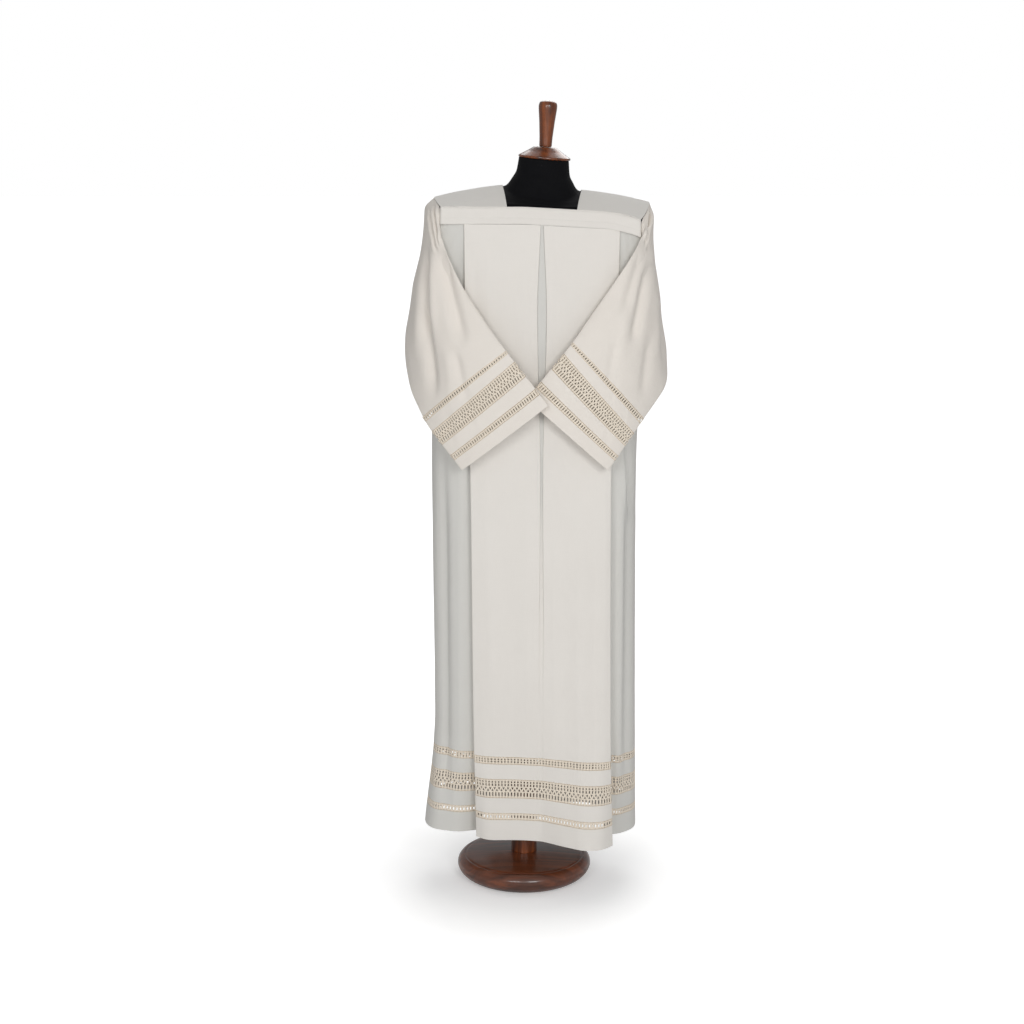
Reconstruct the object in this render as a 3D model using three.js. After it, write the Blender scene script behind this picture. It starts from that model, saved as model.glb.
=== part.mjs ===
// A pleated alb with a square neck, hung on a limbless dress form that stands on a turned foot.
// Millimetres, +Z up, the front of the garment faces -Y. The origin is the middle of the foot's
// underside. The form leans a little towards +X on its plumb pole, and the cloth hangs plumb from it.
import * as THREE from 'three';

// ---- Driving dimensions -------------------------------------------------------------------------
const CLOTH = 1.6; // thickness of every cloth wall
const SEAM = 0.3; // gap between two pieces sewn together

// The garment's heights: the hem and the front fold of the yoke both fall towards +X.
const HEM_HEIGHT = 127.5; // hem above the floor at x = 0
const HEM_FALL = 0.038; // drop of the hem for each mm towards +X
const FOLD_HEIGHT = 1597; // front fold of the yoke above the floor, left half
const FOLD_FALL = 0.055; // drop of that fold for each mm towards +X, right half
const DROOP_START = 166; // x past which the right shoulder droops
const DROOP = 18; // extra drop 100 mm past that
const BAND_HEIGHT = 37; // height of the yoke's front and back bands

// The yoke: a flat rectangle over the shoulders with a square neck.
const YOKE_DEPTH = 106; // ridge of the shoulder to the front or the back fold
const BAND_FLARE = 10; // how far a band's lower edge stands out past its fold
const NECK_LEFT = { ridgeX: -51.5, foldX: -39.4, ridgeZ: 1640 };
const NECK_RIGHT = { ridgeX: 128.7, foldX: 115.2, ridgeZ: 1629 };
const SHOULDER_SLOPE = 0.1; // fall of the ridge as it leaves the neck
const SHOULDER_ROUNDING = 0.0005; // further fall for each mm squared towards the sleeve

// The armholes, in an upright plane that bows out at the shoulder and under the arm.
const ARMHOLES = {
  left: { out: -1, frontX: -186, ridgeX: -203, midZ: 1480, bottomZ: 1366, depth: 104 },
  right: { out: 1, frontX: 256, ridgeX: 280, midZ: 1455, bottomZ: 1327, depth: 104 },
};

// Folds of the body that would pass through an armhole lie side by side along its edge instead.
const EDGE_STEP = { across: 4, forward: 0.6, reach: 45 };

// Heights above the hem of the five plans that shape the body.
const PLAN_HEIGHTS = [0, 300, 873, 1236, 1430];

// Bands that run round the hem and the cuffs, from the lower edge upwards: name and height.
const BODY_LEVELS = [
  ['hem', 50],
  ['lower_lace', 17],
  ['lower_strip', 37.3],
  ['wide_lace', 46.5],
  ['upper_strip', 36.5],
  ['upper_lace', 18.7],
];
const CUFF_LEVELS = [
  ['hem', 28],
  ['lower_lace', 14],
  ['lower_strip', 28],
  ['wide_lace', 38.5],
  ['upper_strip', 29],
  ['upper_lace', 15.5],
];

// The dress form and its stand.
const LEAN = THREE.MathUtils.degToRad(3.5);
const LEAN_START = 1000; // height at which the form's middle is over the foot's
const FORM_CLEARANCE = 0.7; // cloth of the yoke to the form's shoulders
const POLE_RADIUS = 30.5;
const FOOT_HEIGHT = 58;
const FORM_BOTTOM = 900;
const NECK_TOP = 1698;
const CAP_TILT = THREE.MathUtils.degToRad(4.8);
const CAP_CENTRE = { x: 44, z: 1701.2 };
const CAP_HEIGHT = 26;
const HANDLE_LENGTH = 102;

// ---- Tables -------------------------------------------------------------------------------------
function table(columns, rows) {
  return rows.map((row) => Object.fromEntries(columns.map((column, i) => [column, row[i]])));
}

// Plan of the front, one row for each fold or bend from the left side seam to the right one:
// x and y at the hem, the knee, the waist, the chest and under the yoke's band.
const PLAN_COLUMNS = [
  'fold',
  'hemX', 'hemY', 'kneeX', 'kneeY', 'waistX', 'waistY', 'chestX', 'chestY', 'yokeX', 'yokeY',
];
const FRONT_PLAN = table(PLAN_COLUMNS, [
  ['left_seam', -237, -10, -209, 2, -214, 0, -203, 0, -186, -102],
  ['left_side', -233, -39, -207, -40, -210, -42, -200, -42, -184, -104],
  ['left_corner', -219, -65, -195, -75, -197, -76, -186, -76, -179, -107],
  ['left_recess', -190, -78, -165, -94, -166, -97, -163, -97, -167, -110],
  ['left_recess_mid', -155, -84, -140, -101, -141, -104, -148, -104, -152, -111],
  ['left_under', -96, -58, -92, -104, -98, -112, -110, -111, -112, -112.6],
  ['left_edge', -113, -107, -119, -125, -124, -128, -134, -122, -136, -115],
  ['left_panel', -88, -129, -96, -131, -100, -133, -108, -125, -110, -117],
  ['left_panel_mid', -45, -126, -48, -134, -50, -137, -56, -127, -60, -118],
  ['centre_left', 0, -121, 2, -134, 2, -138, -4, -128, -8, -118],
  ['pleat_left', 27, -121, 31, -134, 31, -138, 31, -128, 34, -118],
  ['pleat_left_under', 8, -112, 10, -127, 10, -131, 8, -122, 12, -115.3],
  ['pleat_right_under', 68, -116, 66, -127, 66, -131, 68, -122, 64, -115.3],
  ['pleat_right', 50, -126, 45, -135, 45, -138, 47, -128, 42, -118],
  ['centre_right', 92, -154, 92, -140, 90, -140, 94, -128, 96, -118],
  ['right_panel', 140, -178, 142, -145, 140, -138, 150, -126, 150, -117],
  ['right_panel_out', 180, -170, 176, -142, 174, -134, 186, -122, 188, -115.5],
  ['right_edge', 208, -134, 201, -132, 197, -127, 209, -118, 212, -114],
  ['right_under', 186, -66, 176, -106, 172, -111, 186, -109, 190, -111.5],
  ['right_recess', 216, -60, 214, -98, 215, -102, 220, -103, 222, -110],
  ['right_corner', 238, -43, 240, -78, 238, -80, 244, -80, 238, -109],
  ['right_side', 258, -18, 257, -44, 253, -46, 261, -46, 249, -107],
  ['right_side_back', 267, 8, 262, -14, 257, -16, 267, -20, 254, -104],
  ['right_seam', 269, 40, 262, 14, 258, 12, 268, 12, 256, -102],
]);

// Plan of the back, from the left side seam to the right one.
const BACK_PLAN = table(PLAN_COLUMNS, [
  ['left_seam', -237, -10, -209, 2, -214, 0, -203, 0, -186, 102],
  ['left_side', -235, 30, -208, 44, -210, 44, -200, 42, -184, 104],
  ['left_corner', -218, 78, -193, 84, -194, 82, -186, 82, -178, 107],
  ['left_recess', -176, 104, -152, 108, -152, 106, -150, 106, -156, 110.5],
  ['left_under', -84, 92, -80, 112, -84, 112, -92, 112, -96, 112.6],
  ['left_edge', -104, 138, -106, 130, -108, 128, -118, 122, -122, 115],
  ['left_panel', -66, 150, -66, 138, -68, 136, -74, 127, -78, 117.5],
  ['centre_left', -14, 142, -12, 138, -12, 137, -16, 128, -18, 118],
  ['pleat_left', 28, 134, 30, 137, 31, 138, 32, 128, 34, 118],
  ['pleat_left_under', 4, 126, 6, 129, 8, 130, 8, 122, 12, 115.3],
  ['pleat_right_under', 74, 128, 70, 129, 68, 130, 66, 122, 64, 115.3],
  ['pleat_right', 54, 136, 48, 137, 46, 138, 46, 128, 42, 118],
  ['centre_right', 98, 152, 96, 139, 94, 137, 96, 128, 98, 118],
  ['right_panel', 148, 156, 148, 138, 146, 135, 152, 126, 154, 117],
  ['right_edge', 186, 142, 184, 130, 182, 127, 194, 118, 198, 114],
  ['right_under', 164, 100, 158, 112, 156, 112, 168, 110, 172, 111.5],
  ['right_recess', 222, 112, 214, 106, 210, 106, 214, 106, 222, 110],
  ['right_corner', 252, 88, 246, 80, 242, 82, 248, 84, 244, 108],
  ['right_seam', 269, 40, 262, 14, 258, 12, 268, 12, 256, 102],
]);

// Sections of each sleeve from the armhole to the cuff. front and back are the two creases of the
// flattened sleeve, lift is the way from its middle to its outer face, and bow carries the middle
// out round the body.
const SLEEVE_COLUMNS = ['at', 'front', 'back', 'lift', 'bow'];
const SLEEVES = {
  left: table(SLEEVE_COLUMNS, [
    ['head', [-203, -107, 1514], [-210, 103, 1441], [-6, 35, 107], [-15, -4, 0]],
    ['upper_arm', [-175, -127, 1488], [-239, 110, 1393], [5, 8, 84], [-22, -34, 0]],
    ['above_elbow', [-133, -146, 1418], [-256, 92, 1345], [-10, -8, 34], [-30, -38, 8]],
    ['elbow', [-93, -163, 1358], [-275, 25, 1284], [-7, -13, 20], [-24, -38, 4]],
    ['below_elbow', [-60, -176, 1312], [-264, -45, 1206], [-3, -12, 8], [-12, -28, 0]],
    ['lace_top', [-41, -184, 1288], [-228, -117, 1130], [0, -9, 2], [-4, -14, 0]],
    ['cuff', [52, -197, 1169], [-139.5, -174, 1019.5], [0, -8, 0], [0, -3, 0]],
  ]),
  right: table(SLEEVE_COLUMNS, [
    ['head', [275, -108, 1500], [282, 103, 1424], [4, 35, 104], [9, -4, 0]],
    ['upper_arm', [247, -130, 1490], [298, 110, 1375], [-4, 6, 82], [16, -38, 0]],
    ['above_elbow', [174, -146, 1399], [302, 88, 1325], [4, -8, 32], [48, -42, 8]],
    ['elbow', [146, -156, 1362], [325, 22, 1262], [7, -13, 20], [26, -40, 4]],
    ['below_elbow', [124, -163, 1330], [325, -45, 1207], [3, -12, 8], [10, -28, 0]],
    ['lace_top', [106, -169, 1305], [266, -121, 1127], [0, -9, 2], [3, -14, 0]],
    ['cuff', [5, -172, 1180], [186.5, -174, 1019.5], [0, -8, 0], [0, -2, 0]],
  ]),
};

// Level rings of the form below the shoulders: height, half width, half depth.
const FORM_RINGS = table(['z', 'halfWidth', 'halfDepth'], [
  [1560, 204, 98],
  [1500, 192, 101],
  [1400, 172, 104],
  [1250, 150, 98],
  [1130, 142, 92],
  [1000, 160, 96],
  [930, 158, 94],
  [FORM_BOTTOM, 150, 88],
]);

// Rings of the form's shoulders under the yoke, from the shoulder edge inwards, and of its neck.
const SHOULDER_RINGS = table(['halfWidth', 'halfDepth'], [
  [206, 99],
  [168, 92],
  [128, 82],
  [84, 72],
]);
const NECK_RINGS = table(['z', 'halfWidth', 'halfDepth'], [
  [1652, 68, 64],
  [1668, 60, 58],
  [NECK_TOP, 56, 55],
]);

// Turned profiles from the lower end up: radius and height.
const FOOT_PROFILE = [
  [0, 0], [126, 0], [137, 2.5], [147, 8], [155, 16], [159.5, 26], [158.5, 37], [152, 46], [144, 50.5],
  [140, 49], [136, 51.5], [70, 56], [36, FOOT_HEIGHT], [0, FOOT_HEIGHT],
];
const CAP_PROFILE = [
  [0, 0], [56, 0], [58.5, 1.5], [58.5, 5], [56, 6.5], [40, 16], [26, CAP_HEIGHT - 0.5],
  [24, CAP_HEIGHT], [0, CAP_HEIGHT],
];
const HANDLE_PROFILE = [
  [0, 0], [14, 0], [14.6, 20], [17.5, 56], [20.6, 84], [20.8, 92], [18.4, 98.5], [12.5, 101.4],
  [6, HANDLE_LENGTH], [0, HANDLE_LENGTH],
];

// ---- Finishes -----------------------------------------------------------------------------------
const FINISHES = {
  linen: new THREE.MeshStandardMaterial({ color: 0xebe7dd, roughness: 0.85, metalness: 0 }),
  lace: new THREE.MeshStandardMaterial({ color: 0xe2d5bd, roughness: 0.9, metalness: 0 }),
  jersey: new THREE.MeshStandardMaterial({ color: 0x121213, roughness: 0.95, metalness: 0 }),
  wood: new THREE.MeshStandardMaterial({ color: 0x6b2f16, roughness: 0.25, metalness: 0 }),
};

// ---- Small mathematics --------------------------------------------------------------------------
const lerp = THREE.MathUtils.lerp;
const signedPower = (value, power) => Math.sign(value) * Math.abs(value) ** power;

// Smooth curve through values at rising stations, never swinging past two neighbouring values.
function through(stations, values, at) {
  const last = stations.length - 1;
  let i = 0;
  while (i < last - 1 && at > stations[i + 1]) {
    i += 1;
  }
  const chord = (k) => (values[k + 1] - values[k]) / (stations[k + 1] - stations[k]);
  const slope = (k) => {
    if (k === 0 || k === last) {
      return chord(k === 0 ? 0 : last - 1);
    }
    const [a, b] = [chord(k - 1), chord(k)];
    return a * b > 0 ? (2 * a * b) / (a + b) : 0;
  };
  const span = stations[i + 1] - stations[i];
  const t = (at - stations[i]) / span;
  const rest = 1 - t;
  return rest * rest * (1 + 2 * t) * values[i] + t * t * (3 - 2 * t) * values[i + 1]
    + t * rest * span * (rest * slope(i) - t * slope(i + 1));
}

// ---- Surfaces the pieces share ------------------------------------------------------------------
function foldZ(x) {
  const past = Math.max(x - DROOP_START, 0) / 100;
  return FOLD_HEIGHT - FOLD_FALL * Math.max(x, 0) - DROOP * past * past;
}

function ridgeZ(x) {
  const middle = (NECK_LEFT.ridgeX + NECK_RIGHT.ridgeX) / 2;
  const neck = x < middle ? NECK_LEFT : NECK_RIGHT;
  const past = Math.max(Math.abs(x - middle) - Math.abs(neck.ridgeX - middle), 0);
  return neck.ridgeZ - (SHOULDER_SLOPE + SHOULDER_ROUNDING * past) * past;
}

// Height of the yoke's cloth over a point of the plan.
function yokeZ(x, y) {
  const off = Math.min(Math.abs(y) / YOKE_DEPTH, 1);
  return lerp(ridgeZ(x), foldZ(x), off ** 1.5);
}

function armholeX(armhole, y) {
  const off = Math.min(Math.abs(y) / armhole.depth, 1);
  return lerp(armhole.ridgeX, armhole.frontX, off * off);
}

// Point of an armhole at a turn from the shoulder (0) by the front (0.25) to under the arm (0.5).
function armholePoint(armhole, turn, inset) {
  const angle = 2 * Math.PI * turn;
  const across = Math.sin(angle);
  const up = Math.cos(angle);
  const power = up > 0 ? 0.14 : 0.9;
  const y = -(armhole.depth - inset) * signedPower(across, power);
  const x = armholeX(armhole, y);
  const top = yokeZ(x, y) - inset;
  const z = up > 0
    ? lerp(armhole.midZ, top, up ** power)
    : lerp(armhole.midZ, armhole.bottomZ + inset, (-up) ** power);
  return new THREE.Vector3(x, y, z);
}

// How far back the body reaches at a height beside an armhole.
function armholeEdge(armhole, z) {
  const down = Math.max((armhole.midZ - z) / (armhole.midZ - armhole.bottomZ), 0);
  if (down >= 1) {
    return 0;
  }
  const up = down ** (1 / 0.9);
  return armhole.depth * Math.sqrt(1 - up * up) ** 0.9;
}

// ---- Mesh building ------------------------------------------------------------------------------
// A cloth wall between two grids of points, rows by columns, closed round or open at its sides.
function wallMesh(name, finish, faces, closed) {
  const rows = faces.outer.length;
  const columns = faces.outer[0].length;
  const positions = [...faces.outer.flat(), ...faces.inner.flat()].flatMap((p) => [p.x, p.y, p.z]);
  const at = (side, i, j) => side * rows * columns + i * columns + (j % columns);
  const index = [];
  const quad = (a, b, c, d) => index.push(a, b, c, a, c, d);
  const steps = closed ? columns : columns - 1;
  for (let j = 0; j < steps; j += 1) {
    for (let i = 0; i < rows - 1; i += 1) {
      quad(at(0, i, j), at(0, i, j + 1), at(0, i + 1, j + 1), at(0, i + 1, j));
      quad(at(1, i, j), at(1, i + 1, j), at(1, i + 1, j + 1), at(1, i, j + 1));
    }
    quad(at(0, 0, j), at(1, 0, j), at(1, 0, j + 1), at(0, 0, j + 1));
    const top = rows - 1;
    quad(at(0, top, j), at(0, top, j + 1), at(1, top, j + 1), at(1, top, j));
  }
  if (!closed) {
    const end = columns - 1;
    for (let i = 0; i < rows - 1; i += 1) {
      quad(at(0, i, 0), at(0, i + 1, 0), at(1, i + 1, 0), at(1, i, 0));
      quad(at(0, i, end), at(1, i, end), at(1, i + 1, end), at(0, i + 1, end));
    }
  }
  return solidMesh(name, finish, positions, index);
}

// Turns the triangles outwards, whichever way the grid ran.
function solidMesh(name, finish, positions, index) {
  const corner = (k) => new THREE.Vector3(...positions.slice(3 * index[k], 3 * index[k] + 3));
  let volume = 0;
  for (let k = 0; k < index.length; k += 3) {
    volume += corner(k).dot(corner(k + 1).cross(corner(k + 2)));
  }
  if (volume < 0) {
    for (let k = 0; k < index.length; k += 3) {
      [index[k + 1], index[k + 2]] = [index[k + 2], index[k + 1]];
    }
  }
  const geometry = new THREE.BufferGeometry();
  geometry.setAttribute('position', new THREE.Float32BufferAttribute(positions, 3));
  geometry.setIndex(index);
  geometry.computeVertexNormals();
  const mesh = new THREE.Mesh(geometry, FINISHES[finish]);
  mesh.name = name;
  return mesh;
}

// Outer and inner faces of a smooth grid of mid points, half a cloth's thickness to each side.
function thicken(grid) {
  const pick = (i, j) => {
    const row = grid[THREE.MathUtils.clamp(i, 0, grid.length - 1)];
    return row[THREE.MathUtils.clamp(j, 0, row.length - 1)];
  };
  const faces = { outer: [], inner: [] };
  grid.forEach((row, i) => {
    const normals = row.map((point, j) => {
      const along = pick(i, j + 1).clone().sub(pick(i, j - 1));
      const up = pick(i + 1, j).clone().sub(pick(i - 1, j));
      return along.cross(up).normalize().multiplyScalar(CLOTH / 2);
    });
    faces.outer.push(row.map((point, j) => point.clone().add(normals[j])));
    faces.inner.push(row.map((point, j) => point.clone().sub(normals[j])));
  });
  return faces;
}

// Outer and inner faces of rows that fold back on themselves in plan. Inside a fold the two faces
// meet at a mitre, and outside it they stop just past the crease.
function thickenFolds(grid) {
  const half = CLOTH / 2;
  const shift = (row, j, side) => {
    const before = row[Math.max(j - 1, 0)];
    const after = row[Math.min(j + 1, row.length - 1)];
    const point = row[j];
    const first = j === 0 ? after.clone().sub(point) : point.clone().sub(before);
    const second = j === row.length - 1 ? first.clone() : after.clone().sub(point);
    const a = new THREE.Vector2(first.x, first.y).normalize();
    const b = new THREE.Vector2(second.x, second.y).normalize();
    const normal = new THREE.Vector2(a.y + b.y, -a.x - b.x).normalize();
    const bend = Math.max(Math.abs(normal.x * a.y - normal.y * a.x), 0.05);
    const inside = side * (a.x * b.y - a.y * b.x) > 0 ? 1 : 0;
    const reach = inside ? half * Math.min(1 / bend, 1.25) : half / bend;
    return new THREE.Vector3(point.x + side * normal.x * reach, point.y + side * normal.y * reach, point.z);
  };
  return {
    outer: grid.map((row) => row.map((point, j) => shift(row, j, 1))),
    inner: grid.map((row) => row.map((point, j) => shift(row, j, -1))),
  };
}

// ---- Body: front and back -----------------------------------------------------------------------
const BODY_TOP = PLAN_HEIGHTS[PLAN_HEIGHTS.length - 1];
const LACE_TOP = BODY_LEVELS.reduce((sum, [, height]) => sum + height, 0);

function bodyHeight(x, height) {
  const bottom = HEM_HEIGHT - HEM_FALL * x;
  const top = foldZ(x) - BAND_HEIGHT - 4 * SEAM;
  return lerp(bottom, top, height / BODY_TOP);
}

function bodyRow(plan, height) {
  const facing = Math.sign(plan[8].yokeY);
  const row = plan.map((fold) => {
    const values = (axis) => ['hem', 'knee', 'waist', 'chest', 'yoke'].map((level) => fold[level + axis]);
    const x = through(PLAN_HEIGHTS, values('X'), height);
    const y = through(PLAN_HEIGHTS, values('Y'), height);
    return new THREE.Vector3(x, y, bodyHeight(x, height));
  });
  for (const side of ['left', 'right']) {
    const armhole = ARMHOLES[side];
    const order = side === 'left' ? row : [...row].reverse();
    order.forEach((point, k) => {
      const edge = armholeEdge(armhole, point.z);
      const forward = edge + EDGE_STEP.forward * k;
      if (edge > 0 && facing * point.y < forward && Math.abs(point.x - armhole.frontX) < EDGE_STEP.reach) {
        point.y = facing * forward;
        point.x = armholeX(armhole, edge) - armhole.out * EDGE_STEP.across * k;
        point.z = bodyHeight(point.x, height);
      }
    });
  }
  const pullIn = (end, next) => {
    end.add(next.clone().sub(end).setLength(SEAM));
  };
  pullIn(row[0], row[1]);
  pullIn(row[row.length - 1], row[row.length - 2]);
  return row;
}

function bodyPiece(name, finish, plan, heights) {
  return wallMesh(name, finish, thickenFolds(heights.map((height) => bodyRow(plan, height))), false);
}

function bodyPieces(label, plan) {
  const pieces = [];
  let height = 0;
  for (const [level, tall] of BODY_LEVELS) {
    const lower = height === 0 ? 0 : height + SEAM / 2;
    const finish = level.endsWith('lace') ? 'lace' : 'linen';
    pieces.push(bodyPiece(`${label}_${level}`, finish, plan, [lower, height + tall - SEAM / 2]));
    height += tall;
  }
  const heights = [LACE_TOP + SEAM / 2, 330, 480, 660, 850, 1020, 1140, 1215, 1245, 1275, 1310, 1360, BODY_TOP];
  pieces.push(bodyPiece(`${label}_panel`, 'linen', plan, heights));
  return pieces;
}

// ---- Yoke ---------------------------------------------------------------------------------------
// A shoulder of the yoke, from the neck edge to the armhole and from the front to the back fold.
function shoulderPiece(name, neck, armhole) {
  const steps = 6;
  const grid = [];
  const depths = [-1, -0.86, -0.72, -0.56, -0.4, -0.2, 0, 0.2, 0.4, 0.56, 0.72, 0.86, 1];
  for (const depth of depths) {
    const y = depth * (YOKE_DEPTH - SEAM);
    const neckX = lerp(neck.ridgeX, neck.foldX, Math.abs(depth));
    const tipX = armholeX(armhole, y);
    const row = [];
    for (let k = 0; k <= steps; k += 1) {
      const x = lerp(neckX, tipX, k / steps);
      row.push(new THREE.Vector3(x, y, yokeZ(x, y)));
    }
    grid.push(row);
  }
  return wallMesh(name, 'linen', thicken(grid), false);
}

// The stitched band that hangs from the front or the back fold across both shoulders.
function bandPiece(name, facing) {
  const steps = 14;
  const grid = [0, 0.5, 1].map((down) => {
    const row = [];
    for (let k = 0; k <= steps; k += 1) {
      const x = lerp(ARMHOLES.left.frontX, ARMHOLES.right.frontX, k / steps);
      const y = facing * (YOKE_DEPTH + CLOTH / 2 + BAND_FLARE * down);
      row.push(new THREE.Vector3(x, y, foldZ(x) - 1 - (BAND_HEIGHT - 1) * down));
    }
    return row;
  });
  return wallMesh(name, 'linen', thicken(grid), false);
}

// ---- Sleeves ------------------------------------------------------------------------------------
const SLEEVE_SIDES = 16;
const SLEEVE_INSET = 1.3; // sleeve's middle inside the armhole's edge
const SLEEVE_ROWS = 14; // rows of the sleeve above its cuff
const TUCK = { turn: 0.19, width: 0.08, share: 0.75 }; // front of the head, drawn in by its gathers
const ROW_GAP = 0.0055; // half the gap between two lengths, as a share of a section's distance

// Lengths of a sleeve above its cuff, each with its first and its last row.
const SLEEVE_LENGTHS = [
  ['upper', 0, 8],
  ['elbow', 8, 11],
  ['lower', 11, 14],
];

function sectionRing(row) {
  const front = new THREE.Vector3(...row.front);
  const back = new THREE.Vector3(...row.back);
  const middle = front.clone().add(back).multiplyScalar(0.5);
  const reach = front.clone().sub(back).multiplyScalar(0.5);
  const ring = [];
  for (let k = 0; k < SLEEVE_SIDES; k += 1) {
    const angle = (2 * Math.PI * k) / SLEEVE_SIDES;
    const across = Math.sin(angle);
    const up = Math.cos(angle);
    const point = middle.clone();
    point.addScaledVector(reach, across);
    point.addScaledVector(new THREE.Vector3(...row.lift), up);
    point.addScaledVector(new THREE.Vector3(...row.bow), up * up);
    ring.push(point);
  }
  return ring;
}

// Rings of a whole sleeve, and the length along its middle at which each one lies.
function sleeveRings(side) {
  const armhole = ARMHOLES[side];
  const start = [];
  for (let k = 0; k < SLEEVE_SIDES; k += 1) {
    const point = armholePoint(armhole, k / SLEEVE_SIDES, SLEEVE_INSET);
    point.x += armhole.out * 2.5 * SEAM;
    start.push(point);
  }
  const rings = [start, ...SLEEVES[side].map(sectionRing)];
  rings[1].forEach((point, k) => {
    const off = (k / SLEEVE_SIDES - TUCK.turn) / TUCK.width;
    const between = rings[0][k].clone().add(rings[2][k]).multiplyScalar(0.5);
    point.lerp(between, TUCK.share * Math.exp(-off * off));
  });
  return rings;
}

// A ring between two sections, with every point on a smooth curve down the sleeve.
function ringAt(rings, position) {
  const stations = rings.map((ring, i) => i);
  return rings[0].map((unused, k) => {
    const value = (axis) => through(stations, rings.map((ring) => ring[k][axis]), position);
    return new THREE.Vector3(value('x'), value('y'), value('z'));
  });
}

// A closed wall through the rings at the given positions.
function sleeveWall(name, finish, rings, positions) {
  const step = 0.02;
  const faces = { outer: [], inner: [] };
  for (const position of positions) {
    const ring = ringAt(rings, position);
    const above = ringAt(rings, Math.max(position - step, 0));
    const below = ringAt(rings, Math.min(position + step, rings.length - 1));
    const normals = ring.map((point, k) => {
      const along = ring[(k + 1) % SLEEVE_SIDES].clone().sub(ring[(k + SLEEVE_SIDES - 1) % SLEEVE_SIDES]);
      return along.cross(below[k].clone().sub(above[k])).setLength(CLOTH / 2);
    });
    faces.outer.push(ring.map((point, k) => point.clone().add(normals[k])));
    faces.inner.push(ring.map((point, k) => point.clone().sub(normals[k])));
  }
  return wallMesh(name, finish, faces, true);
}

function sleevePieces(side) {
  const rings = sleeveRings(side);
  const cuff = rings.length - 1;
  const laceLength = CUFF_LEVELS.reduce((sum, [, tall]) => sum + tall, 0);
  const position = (height) => cuff - height / laceLength;
  const row = position(laceLength) / SLEEVE_ROWS;
  const gap = SEAM / 2 / laceLength;
  const pieces = SLEEVE_LENGTHS.map(([length, first, last]) => {
    const down = [];
    for (let i = first; i <= last; i += 1) {
      down.push(row * i);
    }
    down[0] += first === 0 ? 0 : ROW_GAP;
    down[down.length - 1] -= last === SLEEVE_ROWS ? gap : ROW_GAP;
    return sleeveWall(`${side}_sleeve_${length}`, 'linen', rings, down);
  });
  let height = 0;
  for (const [level, tall] of CUFF_LEVELS) {
    const lower = height === 0 ? 0 : height + SEAM / 2;
    const finish = level.endsWith('lace') ? 'lace' : 'linen';
    const ends = [height + tall - SEAM / 2, lower].map(position);
    pieces.push(sleeveWall(`${side}_cuff_${level}`, finish, rings, ends));
    height += tall;
  }
  return pieces;
}

// ---- Dress form and stand -----------------------------------------------------------------------
const FORM_SIDES = 28;
const leanX = (z) => (z - LEAN_START) * Math.tan(LEAN);

function formRing(halfWidth, halfDepth, centreX, height) {
  const ring = [];
  for (let k = 0; k < FORM_SIDES; k += 1) {
    const angle = (2 * Math.PI * k) / FORM_SIDES;
    const x = centreX + halfWidth * signedPower(Math.cos(angle), 0.85);
    const y = halfDepth * signedPower(Math.sin(angle), 0.85);
    ring.push(new THREE.Vector3(x, y, height(x, y)));
  }
  return ring;
}

function formTorso() {
  const rings = [];
  for (const row of [...FORM_RINGS].reverse()) {
    const tilt = row.z > LEAN_START ? 0.04 : 0;
    const centreX = leanX(row.z);
    rings.push(formRing(row.halfWidth, row.halfDepth, centreX, (x) => row.z - tilt * (x - centreX)));
  }
  const shoulderX = leanX(1620);
  for (const row of SHOULDER_RINGS) {
    const height = (x, y) => yokeZ(x, y) - CLOTH / 2 - FORM_CLEARANCE;
    rings.push(formRing(row.halfWidth, row.halfDepth, shoulderX, height));
  }
  for (const row of NECK_RINGS) {
    const centreX = leanX(row.z);
    const height = (x) => row.z - Math.tan(CAP_TILT) * (x - centreX);
    rings.push(formRing(row.halfWidth, row.halfDepth, centreX, height));
  }
  const points = rings.flat();
  const index = [];
  const at = (i, k) => i * FORM_SIDES + (k % FORM_SIDES);
  for (let i = 0; i < rings.length - 1; i += 1) {
    for (let k = 0; k < FORM_SIDES; k += 1) {
      index.push(at(i, k), at(i, k + 1), at(i + 1, k + 1), at(i, k), at(i + 1, k + 1), at(i + 1, k));
    }
  }
  const top = rings.length - 1;
  for (let k = 1; k < FORM_SIDES - 1; k += 1) {
    index.push(at(0, 0), at(0, k + 1), at(0, k));
    index.push(at(top, 0), at(top, k), at(top, k + 1));
  }
  return solidMesh('form_torso', 'jersey', points.flatMap((p) => [p.x, p.y, p.z]), index);
}

function turned(name, finish, profile, sides) {
  const lathe = new THREE.LatheGeometry(profile.map(([r, z]) => new THREE.Vector2(r, z)), sides);
  lathe.rotateX(Math.PI / 2);
  const mesh = new THREE.Mesh(lathe, FINISHES[finish]);
  mesh.name = name;
  return mesh;
}

function neckFittings() {
  const group = new THREE.Group();
  group.position.set(CAP_CENTRE.x, 0, CAP_CENTRE.z);
  group.rotation.y = CAP_TILT;
  const cap = turned('neck_cap', 'wood', CAP_PROFILE, 28);
  cap.position.z = -3;
  const handle = turned('neck_handle', 'wood', HANDLE_PROFILE, 24);
  handle.position.z = CAP_HEIGHT - 3 + 2 * SEAM;
  handle.rotation.y = LEAN - CAP_TILT;
  group.add(cap, handle);
  return group;
}

function stand() {
  const group = new THREE.Group();
  const foot = turned('foot', 'wood', FOOT_PROFILE, 40);
  const length = FORM_BOTTOM - SEAM - FOOT_HEIGHT - SEAM;
  const pole = turned('pole', 'wood', [[0, 0], [POLE_RADIUS, 0], [POLE_RADIUS, length], [0, length]], 28);
  pole.position.z = FOOT_HEIGHT + SEAM;
  group.add(foot, pole);
  return group;
}

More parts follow.
